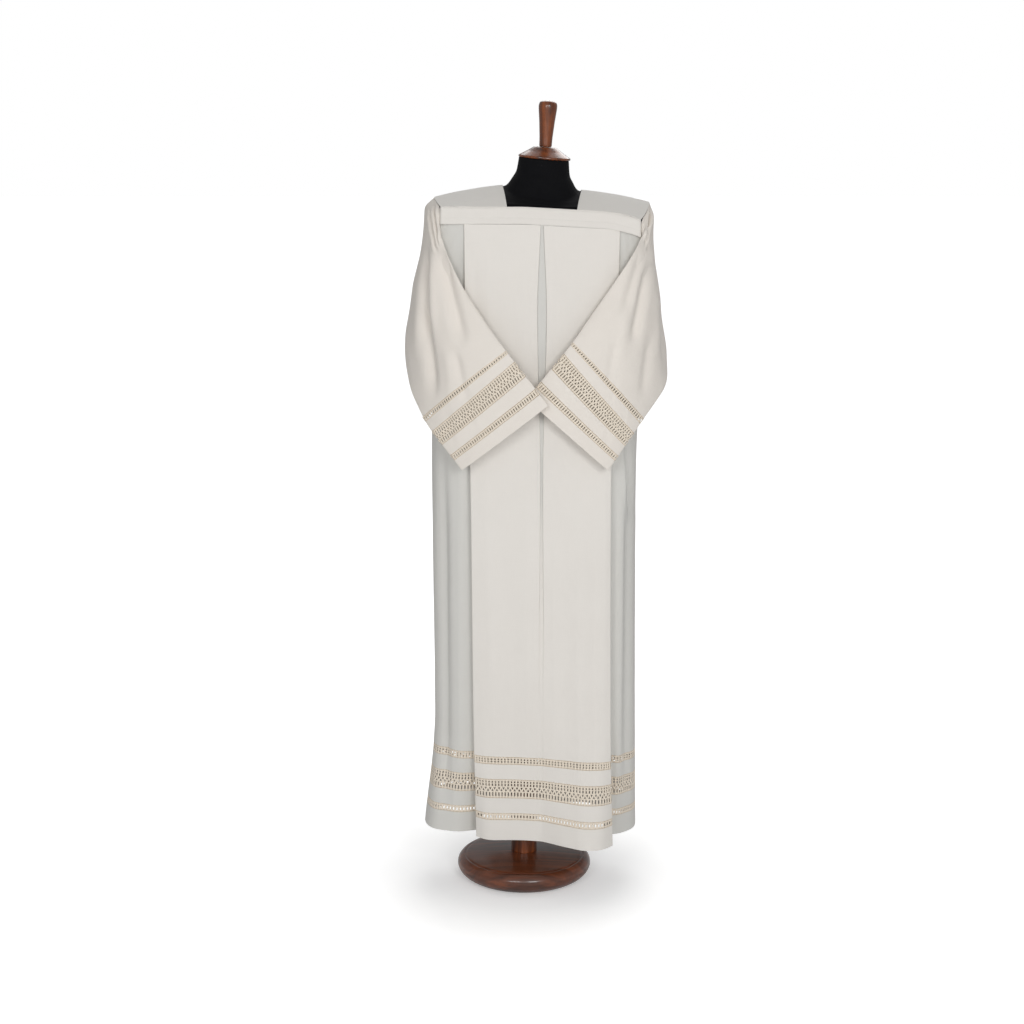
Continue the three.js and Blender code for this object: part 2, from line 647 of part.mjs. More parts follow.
// ---- The whole object ---------------------------------------------------------------------------
const alb = new THREE.Group();
alb.add(
  ...bodyPieces('front', FRONT_PLAN),
  ...bodyPieces('back', BACK_PLAN),
  shoulderPiece('left_shoulder', NECK_LEFT, ARMHOLES.left),
  shoulderPiece('right_shoulder', NECK_RIGHT, ARMHOLES.right),
  bandPiece('front_band', -1),
  bandPiece('back_band', 1),
  ...sleevePieces('left'),
  ...sleevePieces('right'),
  formTorso(),
  neckFittings(),
  stand(),
);

export default alb;
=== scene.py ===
"""An ivory alb with box pleats and ladder lace, hung on a limbless dress form.

Every length in the tables is in millimetres and every mesh is in metres, +Z up, with the front of
the garment towards -Y and the origin under the middle of the turned foot.
"""

import logging
import math
from dataclasses import dataclass, field
from enum import Enum
from typing import Callable, Sequence

import bpy
import numpy as np
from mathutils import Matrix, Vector, noise


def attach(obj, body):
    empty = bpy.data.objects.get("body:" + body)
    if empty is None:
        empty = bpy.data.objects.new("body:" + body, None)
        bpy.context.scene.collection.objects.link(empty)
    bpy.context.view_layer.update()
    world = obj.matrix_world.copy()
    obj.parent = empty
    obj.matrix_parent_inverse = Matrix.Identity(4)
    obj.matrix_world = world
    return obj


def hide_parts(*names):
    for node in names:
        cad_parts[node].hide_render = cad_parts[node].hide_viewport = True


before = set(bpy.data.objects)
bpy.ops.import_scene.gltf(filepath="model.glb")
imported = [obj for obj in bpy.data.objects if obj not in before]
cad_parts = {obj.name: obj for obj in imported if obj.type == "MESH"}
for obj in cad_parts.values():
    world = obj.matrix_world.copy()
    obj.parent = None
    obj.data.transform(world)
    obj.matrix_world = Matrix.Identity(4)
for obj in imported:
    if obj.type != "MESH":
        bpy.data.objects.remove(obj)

MM = 0.001
WHITE = (1.0, 1.0, 1.0, 1.0)
LOG = logging.getLogger("alb")
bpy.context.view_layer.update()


class Side(Enum):
    """Side of the garment as seen by someone who looks at its front."""

    LEFT = "left"
    RIGHT = "right"

    @property
    def out(self) -> int:
        """Direction along X that leads away from the body."""
        return -1 if self is Side.LEFT else 1


class Face(Enum):
    """Front or back half of the garment."""

    FRONT = "front"
    BACK = "back"

    @property
    def facing(self) -> int:
        """Direction along Y that leads away from the body."""
        return -1 if self is Face.FRONT else 1


# ---- Sizes ------------------------------------------------------------------------------------


@dataclass(frozen=True)
class AlbSizes:
    """Driving sizes of the garment, in millimetres."""

    cloth: float = 0.9
    seam: float = 0.3
    hem_height: float = 127.5
    hem_fall: float = 0.038
    fold_height: float = 1597.0
    fold_fall: float = 0.055
    droop_start: float = 166.0
    droop_reach: float = 100.0
    droop: float = 18.0
    band_height: float = 37.0
    yoke_depth: float = 106.0
    yoke_rounding: float = 1.5
    band_flare: float = 10.0
    neck_left: tuple[float, float, float] = (-51.5, -39.4, 1640.0)
    neck_right: tuple[float, float, float] = (128.7, 115.2, 1629.0)
    shoulder_slope: float = 0.1
    shoulder_rounding: float = 0.0005

    def fold_z(self, x: np.ndarray) -> np.ndarray:
        """Height of the yoke's front or back fold over x."""
        past = np.maximum(x - self.droop_start, 0.0) / self.droop_reach
        return self.fold_height - self.fold_fall * np.maximum(x, 0.0) - self.droop * past**2

    def ridge_z(self, x: np.ndarray) -> np.ndarray:
        """Height of the shoulder's ridge over x.

        Args:
            x: Places across.

        Returns:
            One height for each place.
        """
        middle = (self.neck_left[0] + self.neck_right[0]) / 2
        left = np.maximum(self.neck_left[0] - x, 0.0)
        right = np.maximum(x - self.neck_right[0], 0.0)
        top = np.where(x < middle, self.neck_left[2], self.neck_right[2])
        past = np.where(x < middle, left, right)
        return top - (self.shoulder_slope + self.shoulder_rounding * past) * past

    def yoke_z(self, x: np.ndarray, y: np.ndarray) -> np.ndarray:
        """Height of the yoke's cloth over a point of the plan."""
        off = np.minimum(np.abs(y) / self.yoke_depth, 1.0) ** self.yoke_rounding
        return self.ridge_z(x) * (1 - off) + self.fold_z(x) * off


@dataclass(frozen=True)
class Armhole:
    """Armhole in an upright plane that bows out at the shoulder and under the arm.

    Attributes:
        top_power: How square it is over the shoulder.
        bottom_power: How square it is under the arm.
        samples: Points along the edge where its length is measured, a multiple of eight.
    """

    side: Side
    front_x: float
    ridge_x: float
    mid_z: float
    bottom_z: float
    crease_z: float
    depth: float = 104.0
    top_power: float = 0.12
    bottom_power: float = 0.9
    samples: int = 1600

    def x_at(self, y: np.ndarray) -> np.ndarray:
        """X of the armhole's edge at a depth y."""
        off = np.minimum(np.abs(y) / self.depth, 1.0) ** 2
        return self.ridge_x * (1 - off) + self.front_x * off

    def edge_at(self, z: float) -> float:
        """How far the body reaches from its middle beside the armhole at a height.

        Args:
            z: Height.

        Returns:
            Distance from the middle to the front or back, 0 below the armhole.
        """
        down = max((self.mid_z - z) / (self.mid_z - self.bottom_z), 0.0)
        if down >= 1:
            return 0.0
        return self.depth * math.sqrt(1 - down ** (2 / self.bottom_power)) ** self.bottom_power

    def ring(self, sizes: AlbSizes, count: int, inset: float) -> np.ndarray:
        """Points round the edge from the shoulder by the front, with a quarter of them to the crease.

        Args:
            sizes: Sizes of the garment.
            count: Number of points, a multiple of four.
            inset: How far inside the edge they lie.

        Returns:
            Points by three.
        """
        curve = self.point(sizes, np.linspace(0, 1, self.samples + 1), inset)
        length = running(np.linalg.norm(np.diff(curve, axis=0), axis=1))
        eighth = self.samples // 8
        front = slice(eighth, 4 * eighth)
        crease = np.interp(-self.crease_z, -curve[front, 2], length[front])
        stops = (0.0, float(crease), length[4 * eighth], length[6 * eighth], length[-1])
        even = np.concatenate([
            np.linspace(a, b, count // 4, endpoint=False) for a, b in zip(stops[:-1], stops[1:])
        ])
        return np.column_stack([np.interp(even, length, curve[:, axis]) for axis in range(3)])

    def point(self, sizes: AlbSizes, turn: np.ndarray, inset: float) -> np.ndarray:
        """Points of the edge at turns from the shoulder by the front to under the arm.

        Args:
            sizes: Sizes of the garment.
            turn: Turns from 0 to 1.
            inset: How far inside the edge they lie.

        Returns:
            An array of the turns' shape with a last axis of three.
        """
        across = np.sin(2 * np.pi * turn)
        up = np.cos(2 * np.pi * turn)
        power = np.where(up > 0, self.top_power, self.bottom_power)
        y = -(self.depth - inset) * np.sign(across) * np.abs(across) ** power
        x = self.x_at(y)
        top = sizes.yoke_z(x, y) - inset
        share = np.abs(up) ** power
        end = np.where(up > 0, top, self.bottom_z + inset)
        return np.stack([x, y, self.mid_z * (1 - share) + end * share], axis=-1)


SIZES = AlbSizes()
ARMHOLES = {
    Side.LEFT: Armhole(Side.LEFT, -186, -203, 1480, 1366, 1545),
    Side.RIGHT: Armhole(Side.RIGHT, 256, 280, 1455, 1327, 1530),
}

# Bands at the hem and at the cuffs, from the lower edge upwards: name and height.
HEM_BANDS = (
    ("hem", 50.0),
    ("lower_lace", 17.0),
    ("lower_strip", 37.3),
    ("wide_lace", 46.5),
    ("upper_strip", 36.5),
    ("upper_lace", 18.7),
)
CUFF_BANDS = (
    ("hem", 28.0),
    ("lower_lace", 14.0),
    ("lower_strip", 28.0),
    ("wide_lace", 38.5),
    ("upper_strip", 29.0),
    ("upper_lace", 15.5),
)

PLAN_HEIGHTS = np.array([0.0, 300.0, 873.0, 1236.0, 1430.0])


@dataclass(frozen=True)
class PlanFold:
    """One fold or bend of the body, with its place as x and y at the five plan heights."""

    name: str
    hem: tuple[float, float]
    knee: tuple[float, float]
    waist: tuple[float, float]
    chest: tuple[float, float]
    yoke: tuple[float, float]
    rounding: float
    play: float = 1.0

    @property
    def backed_unshaded(self) -> float:
        """1 where more cloth of the pleat lies behind this fold and it is lit, 0 where one layer of cloth
        gets the painted shade of recesses and pleat floors.
        """
        single_shaded = ("under", "recess", "corner", "side", "seam")
        return 0.0 if any(word in self.name for word in single_shaded) else 1.0


FRONT_PLAN = (
    PlanFold("left_seam", (-237, -10), (-209, 2), (-214, 0), (-203, 0), (-186, -102), 0, 0.0),
    PlanFold("left_side", (-233, -39), (-207, -40), (-210, -42), (-200, -42), (-184, -104), 40),
    PlanFold("left_corner", (-219, -65), (-195, -75), (-197, -76), (-186, -76), (-179, -107), 40),
    PlanFold("left_recess", (-190, -78), (-165, -94), (-166, -97), (-163, -97), (-167, -110), 40),
    PlanFold("left_recess_mid", (-155, -84), (-140, -101), (-141, -104), (-148, -104), (-152, -111), 30),
    PlanFold("left_under", (-96, -58), (-92, -104), (-98, -112), (-110, -111), (-112, -112.6), 5, 0.0),
    PlanFold("left_edge", (-113, -107), (-119, -125), (-124, -128), (-134, -122), (-136, -115), 4, 0.2),
    PlanFold("left_panel", (-88, -129), (-96, -131), (-100, -133), (-108, -125), (-110, -117), 40),
    PlanFold("left_panel_mid", (-45, -126), (-48, -134), (-50, -137), (-56, -127), (-60, -118), 40),
    PlanFold("centre_left", (0, -121), (2, -134), (2, -138), (-4, -128), (-8, -118), 40),
    PlanFold("pleat_left", (30, -124.2), (33, -134), (38.2, -138), (30, -128), (37, -118), 4, 0.3),
    PlanFold("pleat_left_under", (35, -124), (36.5, -133.3), (12, -135.4), (8, -124.6), (12, -115.3), 3, 0),
    PlanFold("pleat_right_under", (42, -125.4), (41, -133.6), (64, -135.4), (68, -124.6), (64, -115.3), 3, 0),
    PlanFold("pleat_right", (47, -127.6), (45, -135), (39.2, -138), (47, -128), (39.4, -118), 4, 0.3),
    PlanFold("centre_right", (92, -154), (92, -140), (90, -140), (94, -128), (96, -118), 40),
    PlanFold("right_panel", (140, -178), (142, -145), (140, -138), (150, -126), (150, -117), 40),
    PlanFold("right_panel_out", (180, -170), (176, -142), (174, -134), (186, -122), (188, -115.5), 40),
    PlanFold("right_edge", (208, -134), (201, -132), (197, -127), (209, -118), (212, -114), 4, 0.2),
    PlanFold("right_under", (186, -66), (176, -106), (172, -111), (186, -109), (190, -111.5), 5, 0.0),
    PlanFold("right_recess", (216, -60), (214, -98), (215, -102), (220, -103), (222, -110), 30),
    PlanFold("right_corner", (238, -43), (240, -78), (238, -80), (244, -80), (238, -109), 40),
    PlanFold("right_side", (258, -18), (257, -44), (253, -46), (261, -46), (249, -107), 40),
    PlanFold("right_side_back", (267, 8), (262, -14), (257, -16), (267, -20), (254, -104), 40),
    PlanFold("right_seam", (269, 40), (262, 14), (258, 12), (268, 12), (256, -102), 0, 0.0),
)

BACK_PLAN = (
    PlanFold("left_seam", (-237, -10), (-209, 2), (-214, 0), (-203, 0), (-186, 102), 0, 0.0),
    PlanFold("left_side", (-235, 30), (-208, 44), (-210, 44), (-200, 42), (-184, 104), 40),
    PlanFold("left_corner", (-218, 78), (-193, 84), (-194, 82), (-186, 82), (-178, 107), 40),
    PlanFold("left_recess", (-176, 104), (-152, 108), (-152, 106), (-150, 106), (-156, 110.5), 40),
    PlanFold("left_under", (-84, 92), (-80, 112), (-84, 112), (-92, 112), (-96, 112.6), 5, 0.0),
    PlanFold("left_edge", (-104, 138), (-106, 130), (-108, 128), (-118, 122), (-122, 115), 4, 0.2),
    PlanFold("left_panel", (-66, 150), (-66, 138), (-68, 136), (-74, 127), (-78, 117.5), 40),
    PlanFold("centre_left", (-14, 142), (-12, 138), (-12, 137), (-16, 128), (-18, 118), 40),
    PlanFold("pleat_left", (28, 134), (30, 137), (31, 138), (32, 128), (34, 118), 3, 0.3),
    PlanFold("pleat_left_under", (4, 126), (6, 129), (8, 130), (8, 122), (12, 115.3), 3, 0.0),
    PlanFold("pleat_right_under", (74, 128), (70, 129), (68, 130), (66, 122), (64, 115.3), 3, 0.0),
    PlanFold("pleat_right", (54, 136), (48, 137), (46, 138), (46, 128), (42, 118), 3, 0.3),
    PlanFold("centre_right", (98, 152), (96, 139), (94, 137), (96, 128), (98, 118), 40),
    PlanFold("right_panel", (148, 156), (148, 138), (146, 135), (152, 126), (154, 117), 40),
    PlanFold("right_edge", (186, 142), (184, 130), (182, 127), (194, 118), (198, 114), 4, 0.2),
    PlanFold("right_under", (164, 100), (158, 112), (156, 112), (168, 110), (172, 111.5), 5, 0.0),
    PlanFold("right_recess", (222, 112), (214, 106), (210, 106), (214, 106), (222, 110), 30),
    PlanFold("right_corner", (252, 88), (246, 80), (242, 82), (248, 84), (244, 108), 40),
    PlanFold("right_seam", (269, 40), (262, 14), (258, 12), (268, 12), (256, 102), 0, 0.0),
)


@dataclass(frozen=True)
class Crease:
    """A soft ridge (or, with a negative depth, trough) between two points given as x and z.

    Attributes:
        start: One end.
        end: Other end.
        width: Half width of the crease.
        depth: Height of the ridge.
        fade: Share of the length over which each end dies away.
    """

    start: tuple[float, float]
    end: tuple[float, float]
    width: float
    depth: float
    fade: float = 0.25

    def relief(self, x: np.ndarray, z: np.ndarray) -> np.ndarray:
        """Height of the crease over points of the cloth as seen from the front.

        Args:
            x: Places across.
            z: Heights.

        Returns:
            One height for each point.
        """
        run_x, run_z = self.end[0] - self.start[0], self.end[1] - self.start[1]
        length = math.hypot(run_x, run_z)
        t = ((x - self.start[0]) * run_x + (z - self.start[1]) * run_z) / length**2
        off = ((x - self.start[0]) * run_z - (z - self.start[1]) * run_x) / length
        bell = np.exp(-((off / self.width) ** 2))
        ends = smooth_step(0.0, self.fade, t) * smooth_step(0.0, self.fade, 1 - t)
        return self.depth * bell * ends


FRONT_CREASES = (
    Crease((-70, 60), (-84, 1150), 16, 2.4, 0.5),
    Crease((-24, 60), (-34, 1000), 18, -2.0, 0.5),
    Crease((4, 60), (8, 1120), 11, 1.6, 0.5),
    Crease((70, 60), (66, 1120), 11, 1.4, 0.5),
    Crease((98, 60), (92, 1050), 15, -2.0, 0.5),
    Crease((128, 60), (122, 1180), 15, 2.4, 0.5),
    Crease((160, 60), (160, 1000), 13, -2.4, 0.5),
    Crease((186, 300), (190, 1250), 9, 1.8, 0.4),
    Crease((38, 700), (38, 1260), 9, -2.2, 0.45),
    Crease((-184, 60), (-187, 1180), 12, -12.0, 0.35),
    Crease((-150, 60), (-142, 1400), 12, 3.2, 0.4),
    Crease((-128, 200), (-126, 1300), 8, -1.8, 0.4),
    Crease((-210, 60), (-209, 1150), 8, 4.0, 0.4),
    Crease((216, 60), (224, 1150), 8, 2.6, 0.4),
    Crease((241, 60), (238, 1180), 9, -9.0, 0.35),
    Crease((208, 60), (209, 1060), 5.5, -7.0, 0.3),
    Crease((216, 1090), (241, 850), 6, 5.0, 0.3),
    Crease((231, 1100), (250, 870), 7, -10.0, 0.3),
    Crease((-160, 1410), (-128, 1550), 9, -1.6, 0.35),
    Crease((-168, 1470), (-146, 1560), 7, 1.6, 0.35),
    Crease((-96, 1250), (-118, 1540), 12, -2.4, 0.4),
    Crease((-76, 1300), (-82, 1550), 9, 1.2, 0.4),
    Crease((84, 1200), (58, 1545), 14, -1.3, 0.4),
    Crease((118, 1250), (106, 1540), 14, 1.2, 0.4),
    Crease((-14, 1150), (10, 1530), 16, 1.2, 0.4),
    Crease((236, 1430), (214, 1556), 3.0, 3.2, 0.25),
    Crease((243, 1452), (224, 1556), 4.0, -3.0, 0.25),
)
BACK_CREASES = (
    Crease((-74, 60), (-76, 1300), 15, 2.6, 0.5),
    Crease((-30, 60), (-36, 1100), 16, -2.4, 0.5),
    Crease((2, 60), (6, 1200), 12, 1.6, 0.5),
    Crease((72, 60), (70, 1200), 12, 1.6, 0.5),
    Crease((108, 60), (104, 1150), 15, -2.4, 0.5),
    Crease((146, 60), (140, 1300), 14, 2.8, 0.5),
    Crease((-190, 60), (-182, 1250), 13, -8.0, 0.4),
    Crease((-140, 60), (-130, 1350), 12, 3.0, 0.4),
    Crease((222, 60), (218, 1250), 12, -7.0, 0.4),
    Crease((186, 60), (192, 1300), 10, 3.0, 0.4),
    Crease((-60, 1250), (-96, 1540), 13, -1.6, 0.4),
    Crease((110, 1220), (136, 1530), 13, -1.6, 0.4),
)


@dataclass(frozen=True)
class SleeveSection:
    """One section of a sleeve: its two creases, the lift of its outer face and its bow."""

    name: str
    front: tuple[float, float, float]
    back: tuple[float, float, float]
    lift: tuple[float, float, float]
    bow: tuple[float, float, float]

    def ring(self, turns: np.ndarray) -> np.ndarray:
        """Points of the section at turns from its outer face by its front crease.

        Args:
            turns: Turns from 0 to 1.

        Returns:
            Points by three.
        """
        front, back = np.array(self.front), np.array(self.back)
        across = np.sin(2 * np.pi * turns)[:, None]
        up = np.cos(2 * np.pi * turns)[:, None]
        ring = (front + back) / 2 + across * (front - back) / 2
        return ring + up * np.array(self.lift) + up**2 * np.array(self.bow)


SLEEVES = {
    Side.LEFT: (
        SleeveSection("head", (-203, -107, 1514), (-210, 103, 1441), (-6, 8, 107), (-15, -4, 0)),
        SleeveSection("upper_arm", (-175, -127, 1488), (-239, 110, 1393), (5, -14, 84), (-22, -30, 0)),
        SleeveSection("above_elbow", (-133, -146, 1418), (-256, 92, 1345), (-10, -14, 34), (-30, -38, 8)),
        SleeveSection("elbow", (-93, -163, 1358), (-275, 25, 1284), (-7, -13, 20), (-24, -38, 4)),
        SleeveSection("below_elbow", (-60, -176, 1312), (-264, -45, 1206), (-3, -12, 8), (-12, -28, 0)),
        SleeveSection("lace_top", (-41, -184, 1288), (-228, -117, 1130), (0, -9, 2), (-4, -14, 0)),
        SleeveSection("cuff", (52, -197, 1169), (-139.5, -174, 1019.5), (0, -8, 0), (0, -3, 0)),
    ),
    Side.RIGHT: (
        SleeveSection("head", (275, -108, 1500), (282, 103, 1424), (4, -20, 104), (9, 12, 0)),
        SleeveSection("upper_arm", (247, -130, 1490), (298, 110, 1375), (-4, -24, 82), (16, -28, 0)),
        SleeveSection("above_elbow", (174, -146, 1399), (302, 88, 1325), (4, -14, 32), (48, -42, 8)),
        SleeveSection("elbow", (146, -156, 1362), (325, 22, 1262), (7, -13, 20), (26, -40, 4)),
        SleeveSection("below_elbow", (124, -163, 1330), (325, -45, 1207), (3, -12, 8), (10, -28, 0)),
        SleeveSection("lace_top", (106, -169, 1305), (266, -121, 1127), (0, -9, 2), (3, -14, 0)),
        SleeveSection("cuff", (5, -172, 1180), (186.5, -174, 1019.5), (0, -8, 0), (0, -2, 0)),
    ),
}

# Gathers at the head and drag folds of the sleeves, first those on the front.
SLEEVE_CREASES = {
    Side.LEFT: (
        Crease((-196, 1606), (-187, 1512), 2.6, 5.0, 0.2),
        Crease((-201, 1600), (-190, 1508), 2.2, -6.5, 0.2),
        Crease((-206, 1598), (-190, 1500), 2.8, 5.0, 0.2),
        Crease((-212, 1592), (-194, 1498), 2.4, -6.5, 0.2),
        Crease((-218, 1586), (-198, 1490), 3.2, 3.6, 0.2),
        Crease((-192, 1518), (-132, 1290), 15, -14.0, 0.25),
        Crease((-208, 1520), (-200, 1290), 9, 5.5, 0.35),
        Crease((-220, 1530), (-225, 1290), 8, -12.0, 0.3),
        Crease((-236, 1480), (-244, 1240), 9, 3.5, 0.35),
        Crease((-231, 1400), (-198, 1160), 12, -14.0, 0.3),
        Crease((-158, 1300), (-122, 1145), 9, -6.5, 0.3),
        Crease((-180, 1320), (-158, 1130), 10, 3.0, 0.4),
        Crease((-92, 1300), (-78, 1130), 12, 2.2, 0.4),
        Crease((-124, 1205), (-108, 1060), 5, -3.4, 0.3),
        Crease((-112, 1190), (-98, 1060), 4, 2.0, 0.3),
        Crease((-62, 1250), (-44, 1110), 6, -2.6, 0.35),
        Crease((-160, 1170), (-140, 1040), 6, 2.2, 0.35),
        Crease((-176, 1170), (-158, 1060), 5, -2.8, 0.35),
    ),
    Side.RIGHT: (
        Crease((277, 1600), (262, 1520), 2.6, 4.5, 0.2),
        Crease((282, 1594), (265, 1512), 2.4, -6.5, 0.2),
        Crease((288, 1588), (267, 1505), 3.0, 4.5, 0.2),
        Crease((293, 1580), (270, 1498), 2.6, -6.5, 0.2),
        Crease((262, 1510), (214, 1350), 11, -6.0, 0.3),
        Crease((284, 1510), (282, 1470), 8, 4.0, 0.3),
        Crease((280, 1485), (238, 1290), 11, -12.0, 0.25),
        Crease((298, 1450), (300, 1260), 9, 4.0, 0.35),
        Crease((230, 1400), (206, 1250), 12, 3.2, 0.35),
        Crease((308, 1400), (316, 1230), 7, -6.0, 0.35),
        Crease((284, 1330), (262, 1160), 11, -7.0, 0.35),
        Crease((206, 1330), (180, 1180), 11, -5.0, 0.35),
        Crease((150, 1300), (140, 1160), 10, 2.2, 0.4),
        Crease((196, 1210), (184, 1070), 5, -3.2, 0.3),
        Crease((116, 1260), (96, 1130), 6, -2.6, 0.35),
        Crease((226, 1180), (236, 1070), 7, 1.8, 0.35),
    ),
}
SLEEVE_BACK_CREASES = {
    Side.LEFT: (
        Crease((-204, 1600), (-196, 1470), 3.5, 4.0, 0.25),
        Crease((-212, 1590), (-203, 1460), 3.5, -4.0, 0.25),
        Crease((-214, 1520), (-222, 1250), 12, -5.5, 0.35),
        Crease((-236, 1500), (-246, 1240), 9, 4.0, 0.35),
        Crease((-190, 1400), (-186, 1180), 13, 4.0, 0.35),
        Crease((-150, 1340), (-146, 1160), 12, -4.0, 0.35),
    ),
    Side.RIGHT: (
        Crease((284, 1590), (276, 1460), 3.5, 4.0, 0.25),
        Crease((291, 1580), (283, 1450), 3.5, -4.0, 0.25),
        Crease((284, 1500), (288, 1250), 12, -5.5, 0.35),
        Crease((302, 1480), (310, 1230), 9, 4.0, 0.35),
        Crease((246, 1400), (240, 1190), 13, 4.0, 0.35),
        Crease((206, 1330), (200, 1160), 12, -4.0, 0.35),
    ),
}


# ---- Small mathematics ------------------------------------------------------------------------


CORNER_REACH = 0.46  # Share of the shorter straight beside it that a rounded corner may take.
TINY = 1e-9


def smooth_step(low: float, high: float, value: np.ndarray) -> np.ndarray:
    """Share from 0 at low to 1 at high, level at both ends."""
    t = np.clip((value - low) / (high - low), 0.0, 1.0)
    return t * t * (3 - 2 * t)


def running(steps: Sequence[float] | np.ndarray) -> np.ndarray:
    """Distances from the start to the end of each step, with 0 first."""
    return np.concatenate([[0.0], np.cumsum(steps)])


def through(stations: np.ndarray, values: np.ndarray, at: float) -> np.ndarray:
    """Values at a station on smooth curves that never swing past two neighbouring values.

    Args:
        stations: Rising stations.
        values: One entry for each station, of any further shape.
        at: Where the curves are read.

    Returns:
        An array with the shape of one entry of values.
    """
    last = len(stations) - 1
    i = int(np.clip(np.searchsorted(stations, at, side="left") - 1, 0, last - 1))

    def chord(k: int) -> np.ndarray:
        """Slope of the straight from one station to the next."""
        return (values[k + 1] - values[k]) / (stations[k + 1] - stations[k])

    def slope(k: int) -> np.ndarray:
        """Slope of the curve at a station."""
        if k in (0, last):
            return chord(0 if k == 0 else last - 1)
        a, b = chord(k - 1), chord(k)
        total = np.where(np.abs(a + b) > 1e-12, a + b, 1.0)
        return np.where(a * b > 0, 2 * a * b / total, 0.0)

    span = stations[i + 1] - stations[i]
    t = (at - stations[i]) / span
    rest = 1 - t
    ends = rest * rest * (1 + 2 * t) * values[i] + t * t * (3 - 2 * t) * values[i + 1]
    return ends + t * rest * span * (rest * slope(i) - t * slope(i + 1))


def rough(points: np.ndarray, size: tuple[float, float, float], seed: float) -> np.ndarray:
    """Even, repeatable noise from -1 to 1 over points in millimetres.

    Args:
        points: Array that ends in three coordinates.
        size: Length of one bump along X, Y and Z.
        seed: Shift that tells one cloth from the next.

    Returns:
        An array of the points' shape without its last axis.
    """
    flat = points.reshape(-1, 3) / np.array(size) + seed
    values = [noise.noise(Vector(p)) for p in flat]
    return np.array(values).reshape(points.shape[:-1])


def grid_normals(grid: np.ndarray, closed: bool) -> np.ndarray:
    """Unit normals of a grid of points, rows by columns.

    Args:
        grid: Points.
        closed: Whether the last column is joined to the first.

    Returns:
        An array of the grid's shape.
    """
    if closed:
        along = np.roll(grid, -1, axis=1) - np.roll(grid, 1, axis=1)
    else:
        along = np.gradient(grid, axis=1)
    up = np.gradient(grid, axis=0)
    normal = np.cross(along, up)
    length = np.linalg.norm(normal, axis=-1, keepdims=True)
    return normal / np.maximum(length, TINY)


def softened(values: np.ndarray, passes: int) -> np.ndarray:
    """Unit vectors of a closed grid, each averaged with its neighbours again and again.

    Args:
        values: Vectors, rows by columns.
        passes: How often they are averaged.

    Returns:
        An array of the same shape.
    """
    for _ in range(passes):
        values = values + 0.5 * (np.roll(values, 1, axis=1) + np.roll(values, -1, axis=1))
        ends = np.concatenate([values[:1], values, values[-1:]], axis=0)
        values = values + 0.5 * (ends[2:] + ends[:-2])
        values = values / np.maximum(np.linalg.norm(values, axis=-1, keepdims=True), TINY)
    return values


def round_corners(points: np.ndarray, radii: np.ndarray, steps: Sequence[int], bends: int) -> np.ndarray:
    """A path with its corners rounded and its straights divided.

    Args:
        points: Corners of the path in the plan.
        radii: Rounding of each corner.
        steps: Divisions of each straight between two corners.
        bends: Divisions of each rounded corner.

    Returns:
        Points of the path, as many for any corners that are given with the same steps.
    """
    lengths = np.linalg.norm(np.diff(points, axis=0), axis=1)
    reach = np.zeros(len(points))
    reach[1:-1] = np.minimum(radii[1:-1], CORNER_REACH * np.minimum(lengths[:-1], lengths[1:]))
    path = []
    t = np.linspace(0, 1, bends + 1)[:, None]
    before = points[0]
    for i in range(1, len(points)):
        direction = (points[i] - points[i - 1]) / max(lengths[i - 1], TINY)
        start = points[i] - direction * reach[i]
        share = np.linspace(0, 1, steps[i - 1], endpoint=False)[:, None]
        path.append(before + (start - before) * share)
        if i == len(points) - 1:
            path.append(points[i][None])
            break
        onward = (points[i + 1] - points[i]) / max(lengths[i], TINY)
        before = points[i] + onward * reach[i]
        bend = (1 - t) ** 2 * start + 2 * t * (1 - t) * points[i] + t * t * before
        path.append(bend[:-1])
    return np.concatenate(path)


@dataclass(frozen=True)
class Waves:
    """Slight unevenness of a cloth.

    Attributes:
        height: Height of the waves.
        size: Length of one wave along X, Y and Z.
        seed: Shift that tells one cloth from the next.
    """

    height: float
    size: tuple[float, float, float]
    seed: float

    def over(self, points: np.ndarray, shift: float) -> np.ndarray:
        """Height of the waves over points of the cloth of one side or face."""
        return self.height * rough(points, self.size, self.seed + shift)


# ---- Materials --------------------------------------------------------------------------------


class Tree:
    """Thin helper that adds nodes to a shader tree and joins them."""

    def __init__(self, tree: bpy.types.NodeTree) -> None:
        """Keep the tree that the nodes go into."""
        self.tree = tree

    def add(self, kind: str, inputs: dict | None = None, **settings: object) -> bpy.types.Node:
        """Add one node.

        Args:
            kind: Node type without its ShaderNode prefix, or a full type name.
            inputs: Input name or index to a socket that feeds it, or to a constant.
            **settings: Attributes of the node.

        Returns:
            The new node.
        """
        name = kind if kind.startswith("NodeGroup") else f"ShaderNode{kind}"
        node = self.tree.nodes.new(name)
        for key, value in settings.items():
            setattr(node, key, value)
        for key, value in (inputs or {}).items():
            self.feed(node.inputs[key], value)
        return node

    def feed(self, socket: bpy.types.NodeSocket, value: object) -> None:
        """Give a socket its constant, or join it to the output that feeds it.

        Args:
            socket: Input socket.
            value: Constant or output socket.
        """
        if isinstance(value, bpy.types.NodeSocket):
            self.tree.links.new(value, socket)
        else:
            socket.default_value = value

    def maths(self, operation: str, a: object, b: object = 0.0, clamp: bool = False) -> bpy.types.NodeSocket:
        """Output of one Math node."""
        node = self.add("Math", {0: a, 1: b}, operation=operation, use_clamp=clamp)
        return node.outputs[0]


def new_material(name: str) -> tuple[bpy.types.Material, Tree, bpy.types.Node]:
    """A new material with its tree helper and its Principled shader.

    Args:
        name: Name of the material.

    Returns:
        The material, its tree helper and its shader node.
    """
    material = bpy.data.materials.new(name)
    material.use_nodes = True
    return material, Tree(material.node_tree), material.node_tree.nodes["Principled BSDF"]


